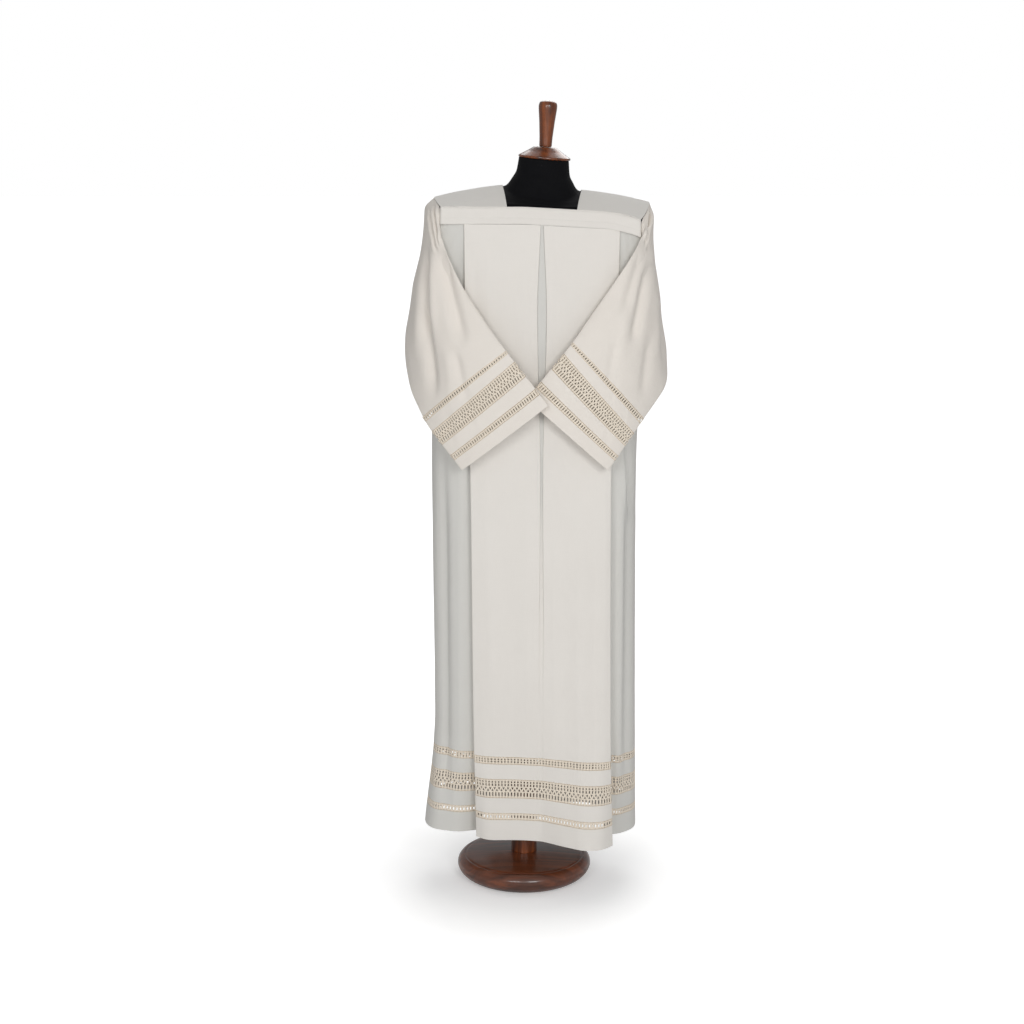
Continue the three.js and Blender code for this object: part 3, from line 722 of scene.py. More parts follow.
def new_group(
    name: str, inputs: dict[str, tuple[str, object]], outputs: dict[str, str]
) -> tuple[bpy.types.NodeTree, Tree, bpy.types.Node, bpy.types.Node]:
    """A shader node group with named sockets.

    Args:
        name: Name of the group.
        inputs: Socket name to its type and its standard value.
        outputs: Socket name to its type.

    Returns:
        The group, its tree helper, its input node and its output node.
    """
    group = bpy.data.node_groups.new(name, "ShaderNodeTree")
    for label, (kind, value) in inputs.items():
        socket = group.interface.new_socket(label, in_out="INPUT", socket_type=kind)
        if value is not None:
            socket.default_value = value
    for label, kind in outputs.items():
        group.interface.new_socket(label, in_out="OUTPUT", socket_type=kind)
    tree = Tree(group)
    return group, tree, tree.add("NodeGroupInput"), tree.add("NodeGroupOutput")


def weave_group() -> bpy.types.NodeTree:
    """Plain weave with slubs, over coordinates in metres.

    Returns:
        The node group.
    """
    group, tree, source, sink = new_group(
        "PlainWeave",
        {
            "Vector": ("NodeSocketVector", None),
            "Threads per Metre": ("NodeSocketFloat", 1400.0),
            "Slub": ("NodeSocketFloat", 0.5),
        },
        {"Height": "NodeSocketFloat", "Slubs": "NodeSocketFloat"},
    )
    parts = tree.add("SeparateXYZ", {0: source.outputs["Vector"]})
    pitch = tree.maths("MULTIPLY", source.outputs["Threads per Metre"], math.pi)
    warp = tree.maths("SINE", tree.maths("MULTIPLY", parts.outputs[0], pitch))
    weft = tree.maths("SINE", tree.maths("MULTIPLY", parts.outputs[1], pitch))
    over = tree.maths("MULTIPLY", warp, weft)
    noises = []
    for stretch in ((900.0, 26.0, 1.0), (26.0, 900.0, 1.0)):
        drawn = tree.add("VectorMath", {0: source.outputs["Vector"], 1: stretch}, operation="MULTIPLY")
        noises.append(tree.add("TexNoise", {"Vector": drawn.outputs[0], "Scale": 1.0, "Detail": 3.0}))
    both = tree.maths("ADD", noises[0].outputs["Fac"], noises[1].outputs["Fac"])
    slubs = tree.maths("MULTIPLY", tree.maths("SUBTRACT", both, 1.0), source.outputs["Slub"])
    height = tree.maths("ADD", tree.maths("MULTIPLY", over, 0.35), slubs)
    tree.feed(sink.inputs["Height"], height)
    tree.feed(sink.inputs["Slubs"], slubs)
    return group


def soft_tone_group() -> bpy.types.NodeTree:
    """Broad, faint changes of tone, as from handling and storage.

    Returns:
        The node group.
    """
    group, tree, source, sink = new_group(
        "SoftTone",
        {"Vector": ("NodeSocketVector", None), "Size": ("NodeSocketFloat", 6.0)},
        {"Tone": "NodeSocketFloat", "Crumple": "NodeSocketFloat"},
    )
    broad = tree.add(
        "TexNoise", {"Vector": source.outputs["Vector"], "Scale": source.outputs["Size"], "Detail": 4.0}
    )
    fine_size = tree.maths("MULTIPLY", source.outputs["Size"], 9.0)
    fine = tree.add("TexNoise", {"Vector": source.outputs["Vector"], "Scale": fine_size, "Detail": 5.0})
    tree.feed(sink.inputs["Tone"], broad.outputs["Fac"])
    tree.feed(sink.inputs["Crumple"], fine.outputs["Fac"])
    return group


def grain_group() -> bpy.types.NodeTree:
    """Wood grain that runs along the third coordinate.

    Returns:
        The node group.
    """
    group, tree, source, sink = new_group(
        "WoodGrain",
        {"Vector": ("NodeSocketVector", None), "Stretch": ("NodeSocketFloat", 0.08)},
        {"Grain": "NodeSocketFloat", "Pores": "NodeSocketFloat"},
    )
    parts = tree.add("SeparateXYZ", {0: source.outputs["Vector"]})
    long = tree.maths("MULTIPLY", parts.outputs[2], source.outputs["Stretch"])
    along = tree.add("CombineXYZ", {0: parts.outputs[0], 1: parts.outputs[1], 2: long})
    figure = tree.add(
        "TexNoise", {"Vector": along.outputs[0], "Scale": 34.0, "Detail": 6.0, "Distortion": 1.6}
    )
    pores = tree.add("TexNoise", {"Vector": along.outputs[0], "Scale": 620.0, "Detail": 2.0})
    tree.feed(sink.inputs["Grain"], figure.outputs["Fac"])
    tree.feed(sink.inputs["Pores"], pores.outputs["Fac"])
    return group


@dataclass(frozen=True)
class ClothFinish:
    """Woven cloth: its colours, the painted shade of its recesses, weave, sheen and gloss."""

    name: str
    light: tuple[float, float, float, float]
    shade: tuple[float, float, float, float]
    # Painted shade: a cooler, darker tone for one layer of cloth in recesses and pleat floors and for the
    # up-facing shoulders; it stands for thinner cloth and for shade together.
    single_shaded: tuple[float, float, float, float] = (0.855, 0.88, 0.89, 1.0)
    threads_per_metre: float = 1400.0
    slub: float = 0.5
    weave_depth: float = 0.00012
    sheen: float = 0.12
    specular: float = 0.5

    def build(self, groups: dict[str, bpy.types.NodeTree]) -> bpy.types.Material:
        """Make the material from the shared node groups.

        Args:
            groups: Shared node groups by name.

        Returns:
            The material.
        """
        material, tree, shader = new_material(self.name)
        uv = tree.add("UVMap", uv_map="cloth")
        place = tree.add("TexCoord")
        weave = tree.add("Group", node_tree=groups["weave"])
        tree.feed(weave.inputs["Vector"], uv.outputs["UV"])
        weave.inputs["Threads per Metre"].default_value = self.threads_per_metre
        weave.inputs["Slub"].default_value = self.slub
        tone = tree.add("Group", node_tree=groups["tone"])
        tree.feed(tone.inputs["Vector"], place.outputs["Object"])
        mixed = tree.maths("ADD", tone.outputs["Tone"], weave.outputs["Slubs"], clamp=True)
        colour = tree.add("Mix", {0: mixed, 6: self.shade, 7: self.light}, data_type="RGBA")
        # Painted shade: points whose layers attribute is 0 take the cooler, darker shade tone of the finish,
        # and 1 keeps the colour as it is.
        layers = tree.add("Attribute", attribute_name="layers")
        layer_shade_mix = tree.add("Mix", {0: layers.outputs["Fac"], 6: self.single_shaded, 7: WHITE}, data_type="RGBA")
        cloth = tree.add(
            "Mix", {0: 1.0, 6: colour.outputs[2], 7: layer_shade_mix.outputs[2]}, data_type="RGBA", blend_type="MULTIPLY"
        )
        tree.feed(shader.inputs["Base Color"], cloth.outputs[2])
        roughness = tree.add("MapRange", {0: tone.outputs["Crumple"], 3: 0.72, 4: 0.92})
        tree.feed(shader.inputs["Roughness"], roughness.outputs[0])
        shader.inputs["Sheen Weight"].default_value = self.sheen
        shader.inputs["Specular IOR Level"].default_value = self.specular
        shader.inputs["Sheen Roughness"].default_value = 0.5
        crumple = tree.add("Bump", {"Height": tone.outputs["Crumple"], "Distance": 0.0012, "Strength": 0.35})
        fine = tree.add(
            "Bump",
            {"Height": weave.outputs["Height"], "Distance": self.weave_depth, "Normal": crumple.outputs[0]},
        )
        tree.feed(shader.inputs["Normal"], fine.outputs[0])
        return material


@dataclass(frozen=True)
class ThreadFinish:
    """Twisted lace thread."""

    name: str
    light: tuple[float, float, float, float]
    shade: tuple[float, float, float, float]

    def build(self, groups: dict[str, bpy.types.NodeTree]) -> bpy.types.Material:
        """Make the material from the shared node groups.

        Args:
            groups: Shared node groups by name.

        Returns:
            The material.
        """
        material, tree, shader = new_material(self.name)
        place = tree.add("TexCoord")
        tone = tree.add("Group", node_tree=groups["tone"])
        tree.feed(tone.inputs["Vector"], place.outputs["Object"])
        tone.inputs["Size"].default_value = 22.0
        colour = tree.add("Mix", {0: tone.outputs["Tone"], 6: self.shade, 7: self.light}, data_type="RGBA")
        tree.feed(shader.inputs["Base Color"], colour.outputs[2])
        shader.inputs["Roughness"].default_value = 0.88
        shader.inputs["Sheen Weight"].default_value = 0.2
        twist = tree.add(
            "TexWave", {"Vector": place.outputs["Object"], "Scale": 420.0}, bands_direction="DIAGONAL"
        )
        bump = tree.add("Bump", {"Height": twist.outputs["Fac"], "Distance": 0.00025, "Strength": 0.6})
        tree.feed(shader.inputs["Normal"], bump.outputs[0])
        return material


@dataclass(frozen=True)
class WoodFinish:
    """Turned wood under varnish."""

    name: str
    dark: tuple[float, float, float, float]
    warm: tuple[float, float, float, float]
    along_z: bool = True
    gloss: float = 0.16
    varnish: float = 0.6

    def build(self, groups: dict[str, bpy.types.NodeTree]) -> bpy.types.Material:
        """Make the material from the shared node groups.

        Args:
            groups: Shared node groups by name.

        Returns:
            The material.
        """
        material, tree, shader = new_material(self.name)
        place = tree.add("TexCoord")
        turned = tree.add("Mapping", {"Vector": place.outputs["Object"]})
        if not self.along_z:
            turned.inputs["Rotation"].default_value = (0.0, math.radians(90), math.radians(12))
        grain = tree.add("Group", node_tree=groups["grain"])
        tree.feed(grain.inputs["Vector"], turned.outputs[0])
        figure = tree.add("MapRange", {0: grain.outputs["Grain"], 1: 0.32, 2: 0.68})
        colour = tree.add("Mix", {0: figure.outputs[0], 6: self.dark, 7: self.warm}, data_type="RGBA")
        pores = tree.add("MapRange", {0: grain.outputs["Pores"], 1: 0.58, 2: 0.7, 3: 1.0, 4: 0.7})
        deep = tree.add("Mix", {0: 1.0, 6: colour.outputs[2], 7: pores.outputs[0]}, data_type="RGBA")
        deep.blend_type = "MULTIPLY"
        tree.feed(shader.inputs["Base Color"], deep.outputs[2])
        worn = tree.add("MapRange", {0: grain.outputs["Grain"], 3: 0.3, 4: 0.42})
        tree.feed(shader.inputs["Roughness"], worn.outputs[0])
        shader.inputs["Coat Weight"].default_value = self.varnish
        shader.inputs["Coat Roughness"].default_value = self.gloss
        bump = tree.add("Bump", {"Height": grain.outputs["Grain"], "Distance": 0.0004, "Strength": 0.12})
        tree.feed(shader.inputs["Normal"], bump.outputs[0])
        return material


class Palette:
    """Every material of the object, made once."""

    def __init__(self) -> None:
        """Make the shared node groups and the materials that use them."""
        groups = {"weave": weave_group(), "tone": soft_tone_group(), "grain": grain_group()}
        self.linen = ClothFinish(
            "ivory_linen", light=(0.85, 0.815, 0.765, 1), shade=(0.80, 0.762, 0.712, 1)
        ).build(groups)
        self.sleeve_linen = ClothFinish(
            "ivory_linen_sleeve", light=(0.855, 0.804, 0.74, 1), shade=(0.805, 0.75, 0.685, 1)
        ).build(groups)
        self.jersey = ClothFinish(
            "black_jersey",
            light=(0.006, 0.006, 0.007, 1),
            shade=(0.003, 0.003, 0.004, 1),
            threads_per_metre=900.0,
            slub=0.1,
            sheen=0.01,
            specular=0.12,
        ).build(groups)
        self.lace = ThreadFinish("ecru_lace", (0.91, 0.815, 0.69, 1), (0.86, 0.76, 0.625, 1)).build(groups)
        self.cord = ThreadFinish("lace_cord", (0.72, 0.60, 0.45, 1), (0.64, 0.52, 0.38, 1)).build(groups)
        self.turned_wood = WoodFinish(
            "mahogany_upright", dark=(0.06, 0.013, 0.003, 1), warm=(0.30, 0.075, 0.014, 1)
        ).build(groups)
        self.foot_wood = WoodFinish(
            "mahogany_foot", dark=(0.05, 0.014, 0.006, 1), warm=(0.19, 0.05, 0.016, 1), along_z=False
        ).build(groups)


# ---- Mesh building ----------------------------------------------------------------------------


def make_object(
    name: str,
    points: np.ndarray,
    quads: np.ndarray,
    material: bpy.types.Material,
    uv: np.ndarray | None = None,
) -> bpy.types.Object:
    """A smooth-shaded mesh object from points in metres.

    Args:
        name: Name of the object.
        points: Vertices.
        quads: Four vertex numbers for each face.
        material: Its only material.
        uv: Place of each face corner on the cloth, in metres.

    Returns:
        The linked object.
    """
    mesh = bpy.data.meshes.new(name)
    mesh.from_pydata(points.tolist(), [], quads.tolist())
    mesh.polygons.foreach_set("use_smooth", np.ones(len(mesh.polygons), dtype=bool))
    if uv is not None:
        layer = mesh.uv_layers.new(name="cloth")
        layer.data.foreach_set("uv", uv.reshape(-1))
    mesh.materials.append(material)
    mesh.update()
    piece = bpy.data.objects.new(name, mesh)
    bpy.context.scene.collection.objects.link(piece)
    return piece


def grid_quads(rows: int, columns: int, closed: bool, start: int = 0) -> np.ndarray:
    """Faces of a grid of points, rows by columns, turned with the grid's normals.

    Args:
        rows: Number of rows.
        columns: Number of columns.
        closed: Whether the last column is joined to the first.
        start: Number of the grid's first point.

    Returns:
        Four point numbers for each face.
    """
    steps = columns if closed else columns - 1
    i, j = np.meshgrid(np.arange(rows - 1), np.arange(steps), indexing="ij")
    k = (j + 1) % columns
    quads = np.stack([i * columns + j, i * columns + k, (i + 1) * columns + k, (i + 1) * columns + j], -1)
    return quads.reshape(-1, 4) + start


def corner_uv(across: np.ndarray, up: np.ndarray) -> np.ndarray:
    """Place on the cloth of each corner of a grid's faces.

    Args:
        across: Distance of each column from the first, one more if the grid is closed.
        up: Distance of each row from the lowest.

    Returns:
        One pair for each corner, face by face.
    """
    i, j = np.meshgrid(np.arange(len(up) - 1), np.arange(len(across) - 1), indexing="ij")
    corners = [(i, j), (i, j + 1), (i + 1, j + 1), (i + 1, j)]
    return np.stack([np.stack([across[b], up[a]], -1) for a, b in corners], axis=2).reshape(-1, 2)


@dataclass
class Patch:
    """A stretch of cloth: a grid of points in millimetres with its own coordinates.

    Attributes:
        grid: Points, rows (upwards) by columns.
        across: Distance of each column from the first, in millimetres, one more if closed.
        up: Distance of each row from the lowest, in millimetres.
        closed: Whether the last column is joined to the first.
    """

    grid: np.ndarray
    across: np.ndarray
    up: np.ndarray
    closed: bool = False

    def __post_init__(self) -> None:
        """Work out the normals, and repeat the first column of a closed patch after its last."""
        self.normals = grid_normals(self.grid, self.closed)
        if self.closed:
            self.wrapped = np.concatenate([self.grid, self.grid[:, :1]], axis=1)
            self.wrapped_normals = np.concatenate([self.normals, self.normals[:, :1]], axis=1)
        else:
            self.wrapped, self.wrapped_normals = self.grid, self.normals

    @property
    def length(self) -> float:
        """Whole distance across, in millimetres."""
        return float(self.across[-1])

    def at(self, s: np.ndarray, t: np.ndarray) -> tuple[np.ndarray, np.ndarray]:
        """Points and normals at distances across and up.

        Args:
            s: Distances across.
            t: Distances up.

        Returns:
            Two arrays with a last axis of three.
        """
        s, t = np.broadcast_arrays(np.asarray(s, float), np.asarray(t, float))
        if self.closed:
            s = np.mod(s, self.length)
        j = np.clip(np.searchsorted(self.across, s, side="right") - 1, 0, len(self.across) - 2)
        i = np.clip(np.searchsorted(self.up, t, side="right") - 1, 0, len(self.up) - 2)
        a = np.clip((s - self.across[j]) / (self.across[j + 1] - self.across[j]), 0, 1)[..., None]
        b = np.clip((t - self.up[i]) / (self.up[i + 1] - self.up[i]), 0, 1)[..., None]

        def mixed(values: np.ndarray) -> np.ndarray:
            """Mean of the four values round each place."""
            low = values[i, j] * (1 - a) + values[i, j + 1] * a
            high = values[i + 1, j] * (1 - a) + values[i + 1, j + 1] * a
            return low * (1 - b) + high * b

        normal = mixed(self.wrapped_normals)
        return mixed(self.wrapped), normal / np.linalg.norm(normal, axis=-1, keepdims=True)

    def band(self, low: float, high: float) -> "Patch":
        """The rows between two distances up, with new rows on both edges.

        Args:
            low: Lower distance.
            high: Upper distance.

        Returns:
            A patch with the same columns.
        """
        inside = self.up[(self.up > low + 0.5) & (self.up < high - 0.5)]
        up = np.concatenate([[low], inside, [high]])
        columns = self.across[:-1] if self.closed else self.across
        grid, _ = self.at(columns[None, :], up[:, None])
        return Patch(grid, self.across, up, self.closed)


@dataclass
class Shell:
    """Faces of one or several patches that make one cloth with a real thickness."""

    name: str
    material: bpy.types.Material
    thickness: float = SIZES.cloth
    points: list[np.ndarray] = field(default_factory=list)
    quads: list[np.ndarray] = field(default_factory=list)
    uv: list[np.ndarray] = field(default_factory=list)
    layers: list[np.ndarray] = field(default_factory=list)
    count: int = 0

    def add(self, patch: Patch, layers: np.ndarray | float = 1.0) -> None:
        """Add one patch to the cloth.

        Args:
            patch: The stretch of cloth.
            layers: 1 where more cloth lies behind it and it is lit, 0 where it is one layer and gets painted
                shade, for each column.
        """
        rows, columns = patch.grid.shape[:2]
        quads = grid_quads(rows, columns, patch.closed, self.count)
        self.points.append(patch.grid.reshape(-1, 3))
        self.quads.append(quads)
        self.uv.append(corner_uv(patch.across, patch.up))
        self.layers.append(np.broadcast_to(layers, (rows, columns)).reshape(-1))
        self.count += rows * columns

    def build(self) -> bpy.types.Object:
        """Make the object."""
        piece = make_object(
            self.name,
            np.concatenate(self.points) * MM,
            np.concatenate(self.quads),
            self.material,
            np.concatenate(self.uv) * MM,
        )
        edges = np.empty(len(piece.data.loops), dtype=np.int32)
        piece.data.loops.foreach_get("edge_index", edges)
        free = np.bincount(edges, minlength=len(piece.data.edges)) == 1
        sharp = piece.data.attributes.new("sharp_edge", "BOOLEAN", "EDGE")
        sharp.data.foreach_set("value", free)
        # Per-point share that drives the painted shade in the linen material: 1 lit, 0 shaded.
        backed_unshaded = piece.data.attributes.new("layers", "FLOAT", "POINT")
        backed_unshaded.data.foreach_set("value", np.concatenate(self.layers).astype(np.float32))
        solid = piece.modifiers.new("thickness", "SOLIDIFY")
        solid.thickness = self.thickness * MM
        solid.offset = 0
        return piece


@dataclass
class Threads:
    """Many short tubes that follow a cloth: lace bars, cords and stitches."""

    name: str
    sides: int = 5
    points: list[np.ndarray] = field(default_factory=list)
    quads: list[np.ndarray] = field(default_factory=list)
    slots: list[np.ndarray] = field(default_factory=list)
    count: int = 0

    def run(self, paths: np.ndarray, normals: np.ndarray, width: float, height: float, slot: int = 0) -> None:
        """Add one tube for each path.

        Args:
            paths: Paths by points by three, in millimetres.
            normals: Cloth normals at those points.
            width: Tube's width in the cloth.
            height: Tube's height off the cloth.
            slot: Number of its material.
        """
        amount, steps = paths.shape[:2]
        tangent = np.gradient(paths, axis=1)
        side = np.cross(tangent, normals)
        side /= np.maximum(np.linalg.norm(side, axis=-1, keepdims=True), TINY)
        angle = 2 * np.pi * np.arange(self.sides) / self.sides
        ring = (
            np.cos(angle)[:, None] * side[:, :, None] * width / 2
            + np.sin(angle)[:, None] * normals[:, :, None] * height / 2
        )
        points = (paths[:, :, None] + ring).reshape(-1, 3)
        tube = grid_quads(steps, self.sides, True)
        starts = np.arange(amount)[:, None, None] * steps * self.sides
        quads = (tube[None] + starts).reshape(-1, 4) + self.count
        self.points.append(points)
        self.quads.append(quads)
        self.slots.append(np.full(len(quads), slot))
        self.count += len(points)

    def build(self, materials: Sequence[bpy.types.Material]) -> bpy.types.Object:
        """Make the object."""
        piece = make_object(
            self.name, np.concatenate(self.points) * MM, np.concatenate(self.quads), materials[0]
        )
        for extra in materials[1:]:
            piece.data.materials.append(extra)
        piece.data.polygons.foreach_set("material_index", np.concatenate(self.slots).astype(np.int32))
        piece.data.update()
        return piece


# ---- Lace -------------------------------------------------------------------------------------


@dataclass(frozen=True)
class LadderLace:
    """Ladder lace: cords along the band with bars, knots and a row of zigzags between them.

    Attributes:
        pitch: Distance from one bar to the next.
        bar: Width of a bar.
        rail: Width of the woven edges along the holes.
        knot: Width of the thread that crosses a ladder.
        slash: Width of a slanting bar.
        cord: Width of an outer cord.
        picot: Length of the small loops outside the outer cords.
        slant: Lean of a bar, in pitches.
        lower_ladder: Share of a wide band up to the top of its lower ladder.
        upper_ladder: Share of a wide band up to the bottom of its upper ladder.
        zigzag: Length of one zigzag, in pitches.
    """

    pitch: float = 7.4
    bar: float = 5.6
    rail: float = 3.7
    knot: float = 2.8
    slash: float = 4.6
    cord: float = 1.3
    picot: float = 1.5
    slant: float = 0.0
    lower_ladder: float = 0.33
    upper_ladder: float = 0.61
    zigzag: float = 1.42

    def weave(self, threads: Threads, patch: Patch, low: float, high: float, wide: bool, knots: bool) -> None:
        """Add the threads of one band.

        Args:
            threads: Receives the tubes.
            patch: Cloth surface that the band continues.
            low: Lower edge of the band.
            high: Upper edge of the band.
            wide: Whether the band has the zigzag row between two ladders.
            knots: Whether a middle thread crosses the ladder of a narrow band.
        """
        bars = max(int(round(patch.length / self.pitch)), 4)
        pitch = patch.length / bars
        centres = (np.arange(bars) + 0.5) * pitch
        inner_low, inner_high = low + self.cord, high - self.cord
        self._edge(threads, patch, low + self.cord / 2, -1, centres, pitch)
        self._edge(threads, patch, high - self.cord / 2, 1, centres, pitch)
        self._rail(threads, patch, inner_low + self.rail / 2, self.rail)
        self._rail(threads, patch, inner_high - self.rail / 2, self.rail)
        if not wide:
            self._bars(threads, patch, centres, inner_low, inner_high)
            if knots:
                self._rail(threads, patch, (inner_low + inner_high) / 2, self.knot)
            return
        tall = inner_high - inner_low
        lower_top = inner_low + self.lower_ladder * tall
        upper_bottom = inner_low + self.upper_ladder * tall
        self._rail(threads, patch, lower_top, self.rail)
        self._rail(threads, patch, upper_bottom, self.rail)
        self._bars(threads, patch, centres, inner_low, lower_top)
        self._bars(threads, patch, centres, upper_bottom, inner_high)
        self._rail(threads, patch, (upper_bottom + inner_high) / 2, self.knot)
        self._zigzag(threads, patch, lower_top, upper_bottom)

    def _rail(self, threads: Threads, patch: Patch, t: float, width: float, slot: int = 0) -> None:
        """One cord all along the band.

        Args:
            threads: Receives the tubes.
            patch: Cloth surface.
            t: Height of the cord.
            width: Width of the cord.
            slot: Number of its material.
        """
        steps = max(int(patch.length / (self.pitch * 0.55)), 8)
        s = np.linspace(0, patch.length * (1 - 1e-6), steps)
        points, normals = patch.at(s, np.full_like(s, t))
        threads.run(points[None], normals[None], width, 1.0, slot)

    def _edge(
        self, threads: Threads, patch: Patch, t: float, outward: int, centres: np.ndarray, pitch: float
    ) -> None:
        """Outer cord with its picots.

        Args:
            threads: Receives the tubes.
            patch: Cloth surface.
            t: Height of the cord.
            outward: 1 for an upper cord and -1 for a lower one.
            centres: Places of the picots.
            pitch: Distance from one to the next.
        """
        self._rail(threads, patch, t, self.cord, slot=1)
        arc = np.linspace(0, np.pi, 5)
        s = centres[:, None] - pitch * 0.22 * np.cos(arc)[None]
        loops = t + outward * self.picot * np.sin(arc)[None] + 0 * s
        points, normals = patch.at(s, loops)
        threads.run(points + 0.35 * normals, normals, 0.55, 0.5, slot=0)

    def _bars(self, threads: Threads, patch: Patch, centres: np.ndarray, low: float, high: float) -> None:
        """Bars between two cords.

        Args:
            threads: Receives the tubes.
            patch: Cloth surface.
            centres: Places of the bars.
            low: Lower end.
            high: Upper end.
        """
        t = np.linspace(low, high, 3)
        lean = self.slant * self.pitch * np.linspace(-0.5, 0.5, 3)
        points, normals = patch.at(centres[:, None] + lean[None], t[None] + 0 * centres[:, None])
        threads.run(points, normals, self.bar, 0.9)

    def _zigzag(self, threads: Threads, patch: Patch, low: float, high: float) -> None:
        """Slanting bars that leave staggered holes between two ladders.

        Args:
            threads: Receives the tubes.
            patch: Cloth surface.
            low: Lower end.
            high: Upper end.
        """
        count = max(int(round(patch.length / (self.pitch * self.zigzag))), 3)
        wide = patch.length / count
        s0 = np.arange(count) * wide
        for lean in (0.0, 0.5):
            s = np.stack([s0 + lean * wide, s0 + (lean + 0.5) * wide], axis=1)
            ends = [high, low] if lean else [low, high]
            t = np.tile(np.array(ends), (count, 1))
            points, normals = patch.at(np.minimum(s, patch.length - 1e-3), t)
            threads.run(points, normals, self.slash, 0.9)


# ---- Body -------------------------------------------------------------------------------------


@dataclass
class BodyHalf:
    """Front or back of the body, from the hem up to the yoke's band.

    Attributes:
        face: Which half it is.
        plan: Its folds.
        creases: Its soft ridges and troughs.
        bends: Divisions of a rounded fold.
        step: Length of one face across, in millimetres.
        armhole_reach: How near the armhole a fold is kept clear of it.
        armhole_lean: How much farther off the arm each further fold stands there.
        armhole_tuck: How much farther in each further fold stands there.
        open_pleat: Places across where the open middle pleat starts and ends.
        open_height: Heights between which it closes and the painted shade of its floor fades out.
        calm_height: Height under the yoke's band over which the creases die away.
    """

    face: Face
    plan: tuple[PlanFold, ...]
    creases: tuple[Crease, ...]
    bends: int = 4
    step: float = 7.0
    row_stretch: float = 1.3
    band_rows: int = 5
    level_rows: int = 40
    narrowest: float = 0.05
    armhole_reach: float = 45.0
    armhole_lean: float = 0.6
    armhole_tuck: float = 4.0
    open_pleat: tuple[float, float, float, float] = (-30.0, 0.0, 80.0, 110.0)
    open_height: tuple[float, float] = (760.0, 1010.0)
    calm_height: float = 120.0
    calm_columns: float = 6.0
    calm_share: float = 0.25
    waves: tuple[Waves, ...] = (
        Waves(0.9, (34.0, 200.0, 300.0), 3.7),
        Waves(0.5, (60.0, 200.0, 70.0), 8.1),
    )
    open_lace: LadderLace = LadderLace()
    close_lace: LadderLace = LadderLace(bar=6.0, rail=4.4)

    def height_z(self, x: np.ndarray, height: float) -> np.ndarray:
        """Z of a row of the cloth over x.

        Args:
            x: Places across.
            height: Height of the row in the plan.

        Returns:
            One height for each place.
        """
        bottom = SIZES.hem_height - SIZES.hem_fall * x
        top = SIZES.fold_z(x) - SIZES.band_height - SIZES.seam
        return bottom + (top - bottom) * height / PLAN_HEIGHTS[-1]

    def corners(self, height: float) -> np.ndarray:
        """Folds of the plan at a height, kept clear of the armholes.

        Args:
            height: Height in the plan.

        Returns:
            Folds by two.
        """
        stations = np.array([[fold.hem, fold.knee, fold.waist, fold.chest, fold.yoke] for fold in self.plan])
        row = through(PLAN_HEIGHTS, stations.transpose(1, 0, 2), height)
        z = self.height_z(row[:, 0], height)
        for side, order in ((Side.LEFT, range(len(row))), (Side.RIGHT, range(len(row) - 1, -1, -1))):
            armhole = ARMHOLES[side]
            for k, i in enumerate(order):
                edge = armhole.edge_at(float(z[i]))
                forward = edge + self.armhole_lean * k
                close = abs(row[i, 0] - armhole.front_x) < self.armhole_reach
                if edge > 0 and self.face.facing * row[i, 1] < forward and close:
                    row[i, 1] = self.face.facing * forward
                    row[i, 0] = float(armhole.x_at(np.array(edge))) - side.out * self.armhole_tuck * k
        return row

    def divisions(self) -> list[int]:
        """Faces across each straight of the plan, the same at every height."""
        lengths = [np.linalg.norm(np.diff(self.corners(h), axis=0), axis=1) for h in (0.0, 600.0)]
        return [max(int(round(value / self.step)), 1) for value in np.max(lengths, axis=0)]

    def patch(self) -> Patch:
        """The whole half as one stretch of cloth.

        Returns:
            The patch, from the hem up.
        """
        bands = running([tall for _, tall in HEM_BANDS])
        rows = [
            np.linspace(a, b, self.band_rows, endpoint=False) for a, b in zip(bands[:-1], bands[1:])
        ]
        count = int((PLAN_HEIGHTS[-1] - bands[-1]) / (self.step * self.row_stretch))
        heights = np.concatenate([*rows, np.linspace(bands[-1], PLAN_HEIGHTS[-1], count)])
        steps = self.divisions()
        radii = np.array([fold.rounding for fold in self.plan], float)
        share = self.along_columns(steps, radii, [fold.play for fold in self.plan])
        # Painted shade share for each column: folds whose names mark one layer of cloth (recesses, pleat
        # floors, sides) get 0, the rest 1.
        self.layers = smooth_step(
            0.3, 0.7, self.along_columns(steps, radii, [fold.backed_unshaded for fold in self.plan])
        )
        grid = []
        for height in heights:
            path = round_corners(self.corners(height), radii, steps, self.bends)
            z = self.height_z(path[:, 0], height)
            grid.append(np.column_stack([path, z]))
        grid = np.array(grid)
        flat = np.linalg.norm(np.diff(grid[: self.level_rows], axis=1), axis=2).mean(axis=0)
        across = running(np.maximum(flat, self.narrowest))
        grid = self.with_relief(grid, heights, share)
        return Patch(grid, across, heights)

    def unshaded_backing(self, part: Patch) -> np.ndarray:
        """Share of the cloth with more behind it and no painted shade: all of the middle pleat where it hangs
        open below.

        Args:
            part: A stretch of this half.

        Returns:
            One share for each of its points.
        """
        x, z = part.grid[..., 0], part.grid[..., 2]
        left_out, left_in, right_in, right_out = self.open_pleat
        middle = smooth_step(left_out, left_in, x) * (1 - smooth_step(right_in, right_out, x))
        flat = middle * (1 - smooth_step(*self.open_height, z))
        return self.layers[None] * (1 - flat) + flat

    def along_columns(self, steps: list[int], radii: np.ndarray, values: list[float]) -> np.ndarray:
        """A value of the folds spread over the columns of the cloth.

        Args:
            steps: Divisions of each straight of the plan.
            radii: Rounding of each fold.
            values: One value for each fold.

        Returns:
            One value for each column.
        """
        stations = np.arange(len(values), dtype=float)
        line = np.column_stack([stations, np.zeros_like(stations)])
        path = round_corners(line, np.minimum(radii / 60.0, 0.4), steps, self.bends)[:, 0]
        return np.interp(path, stations, values)

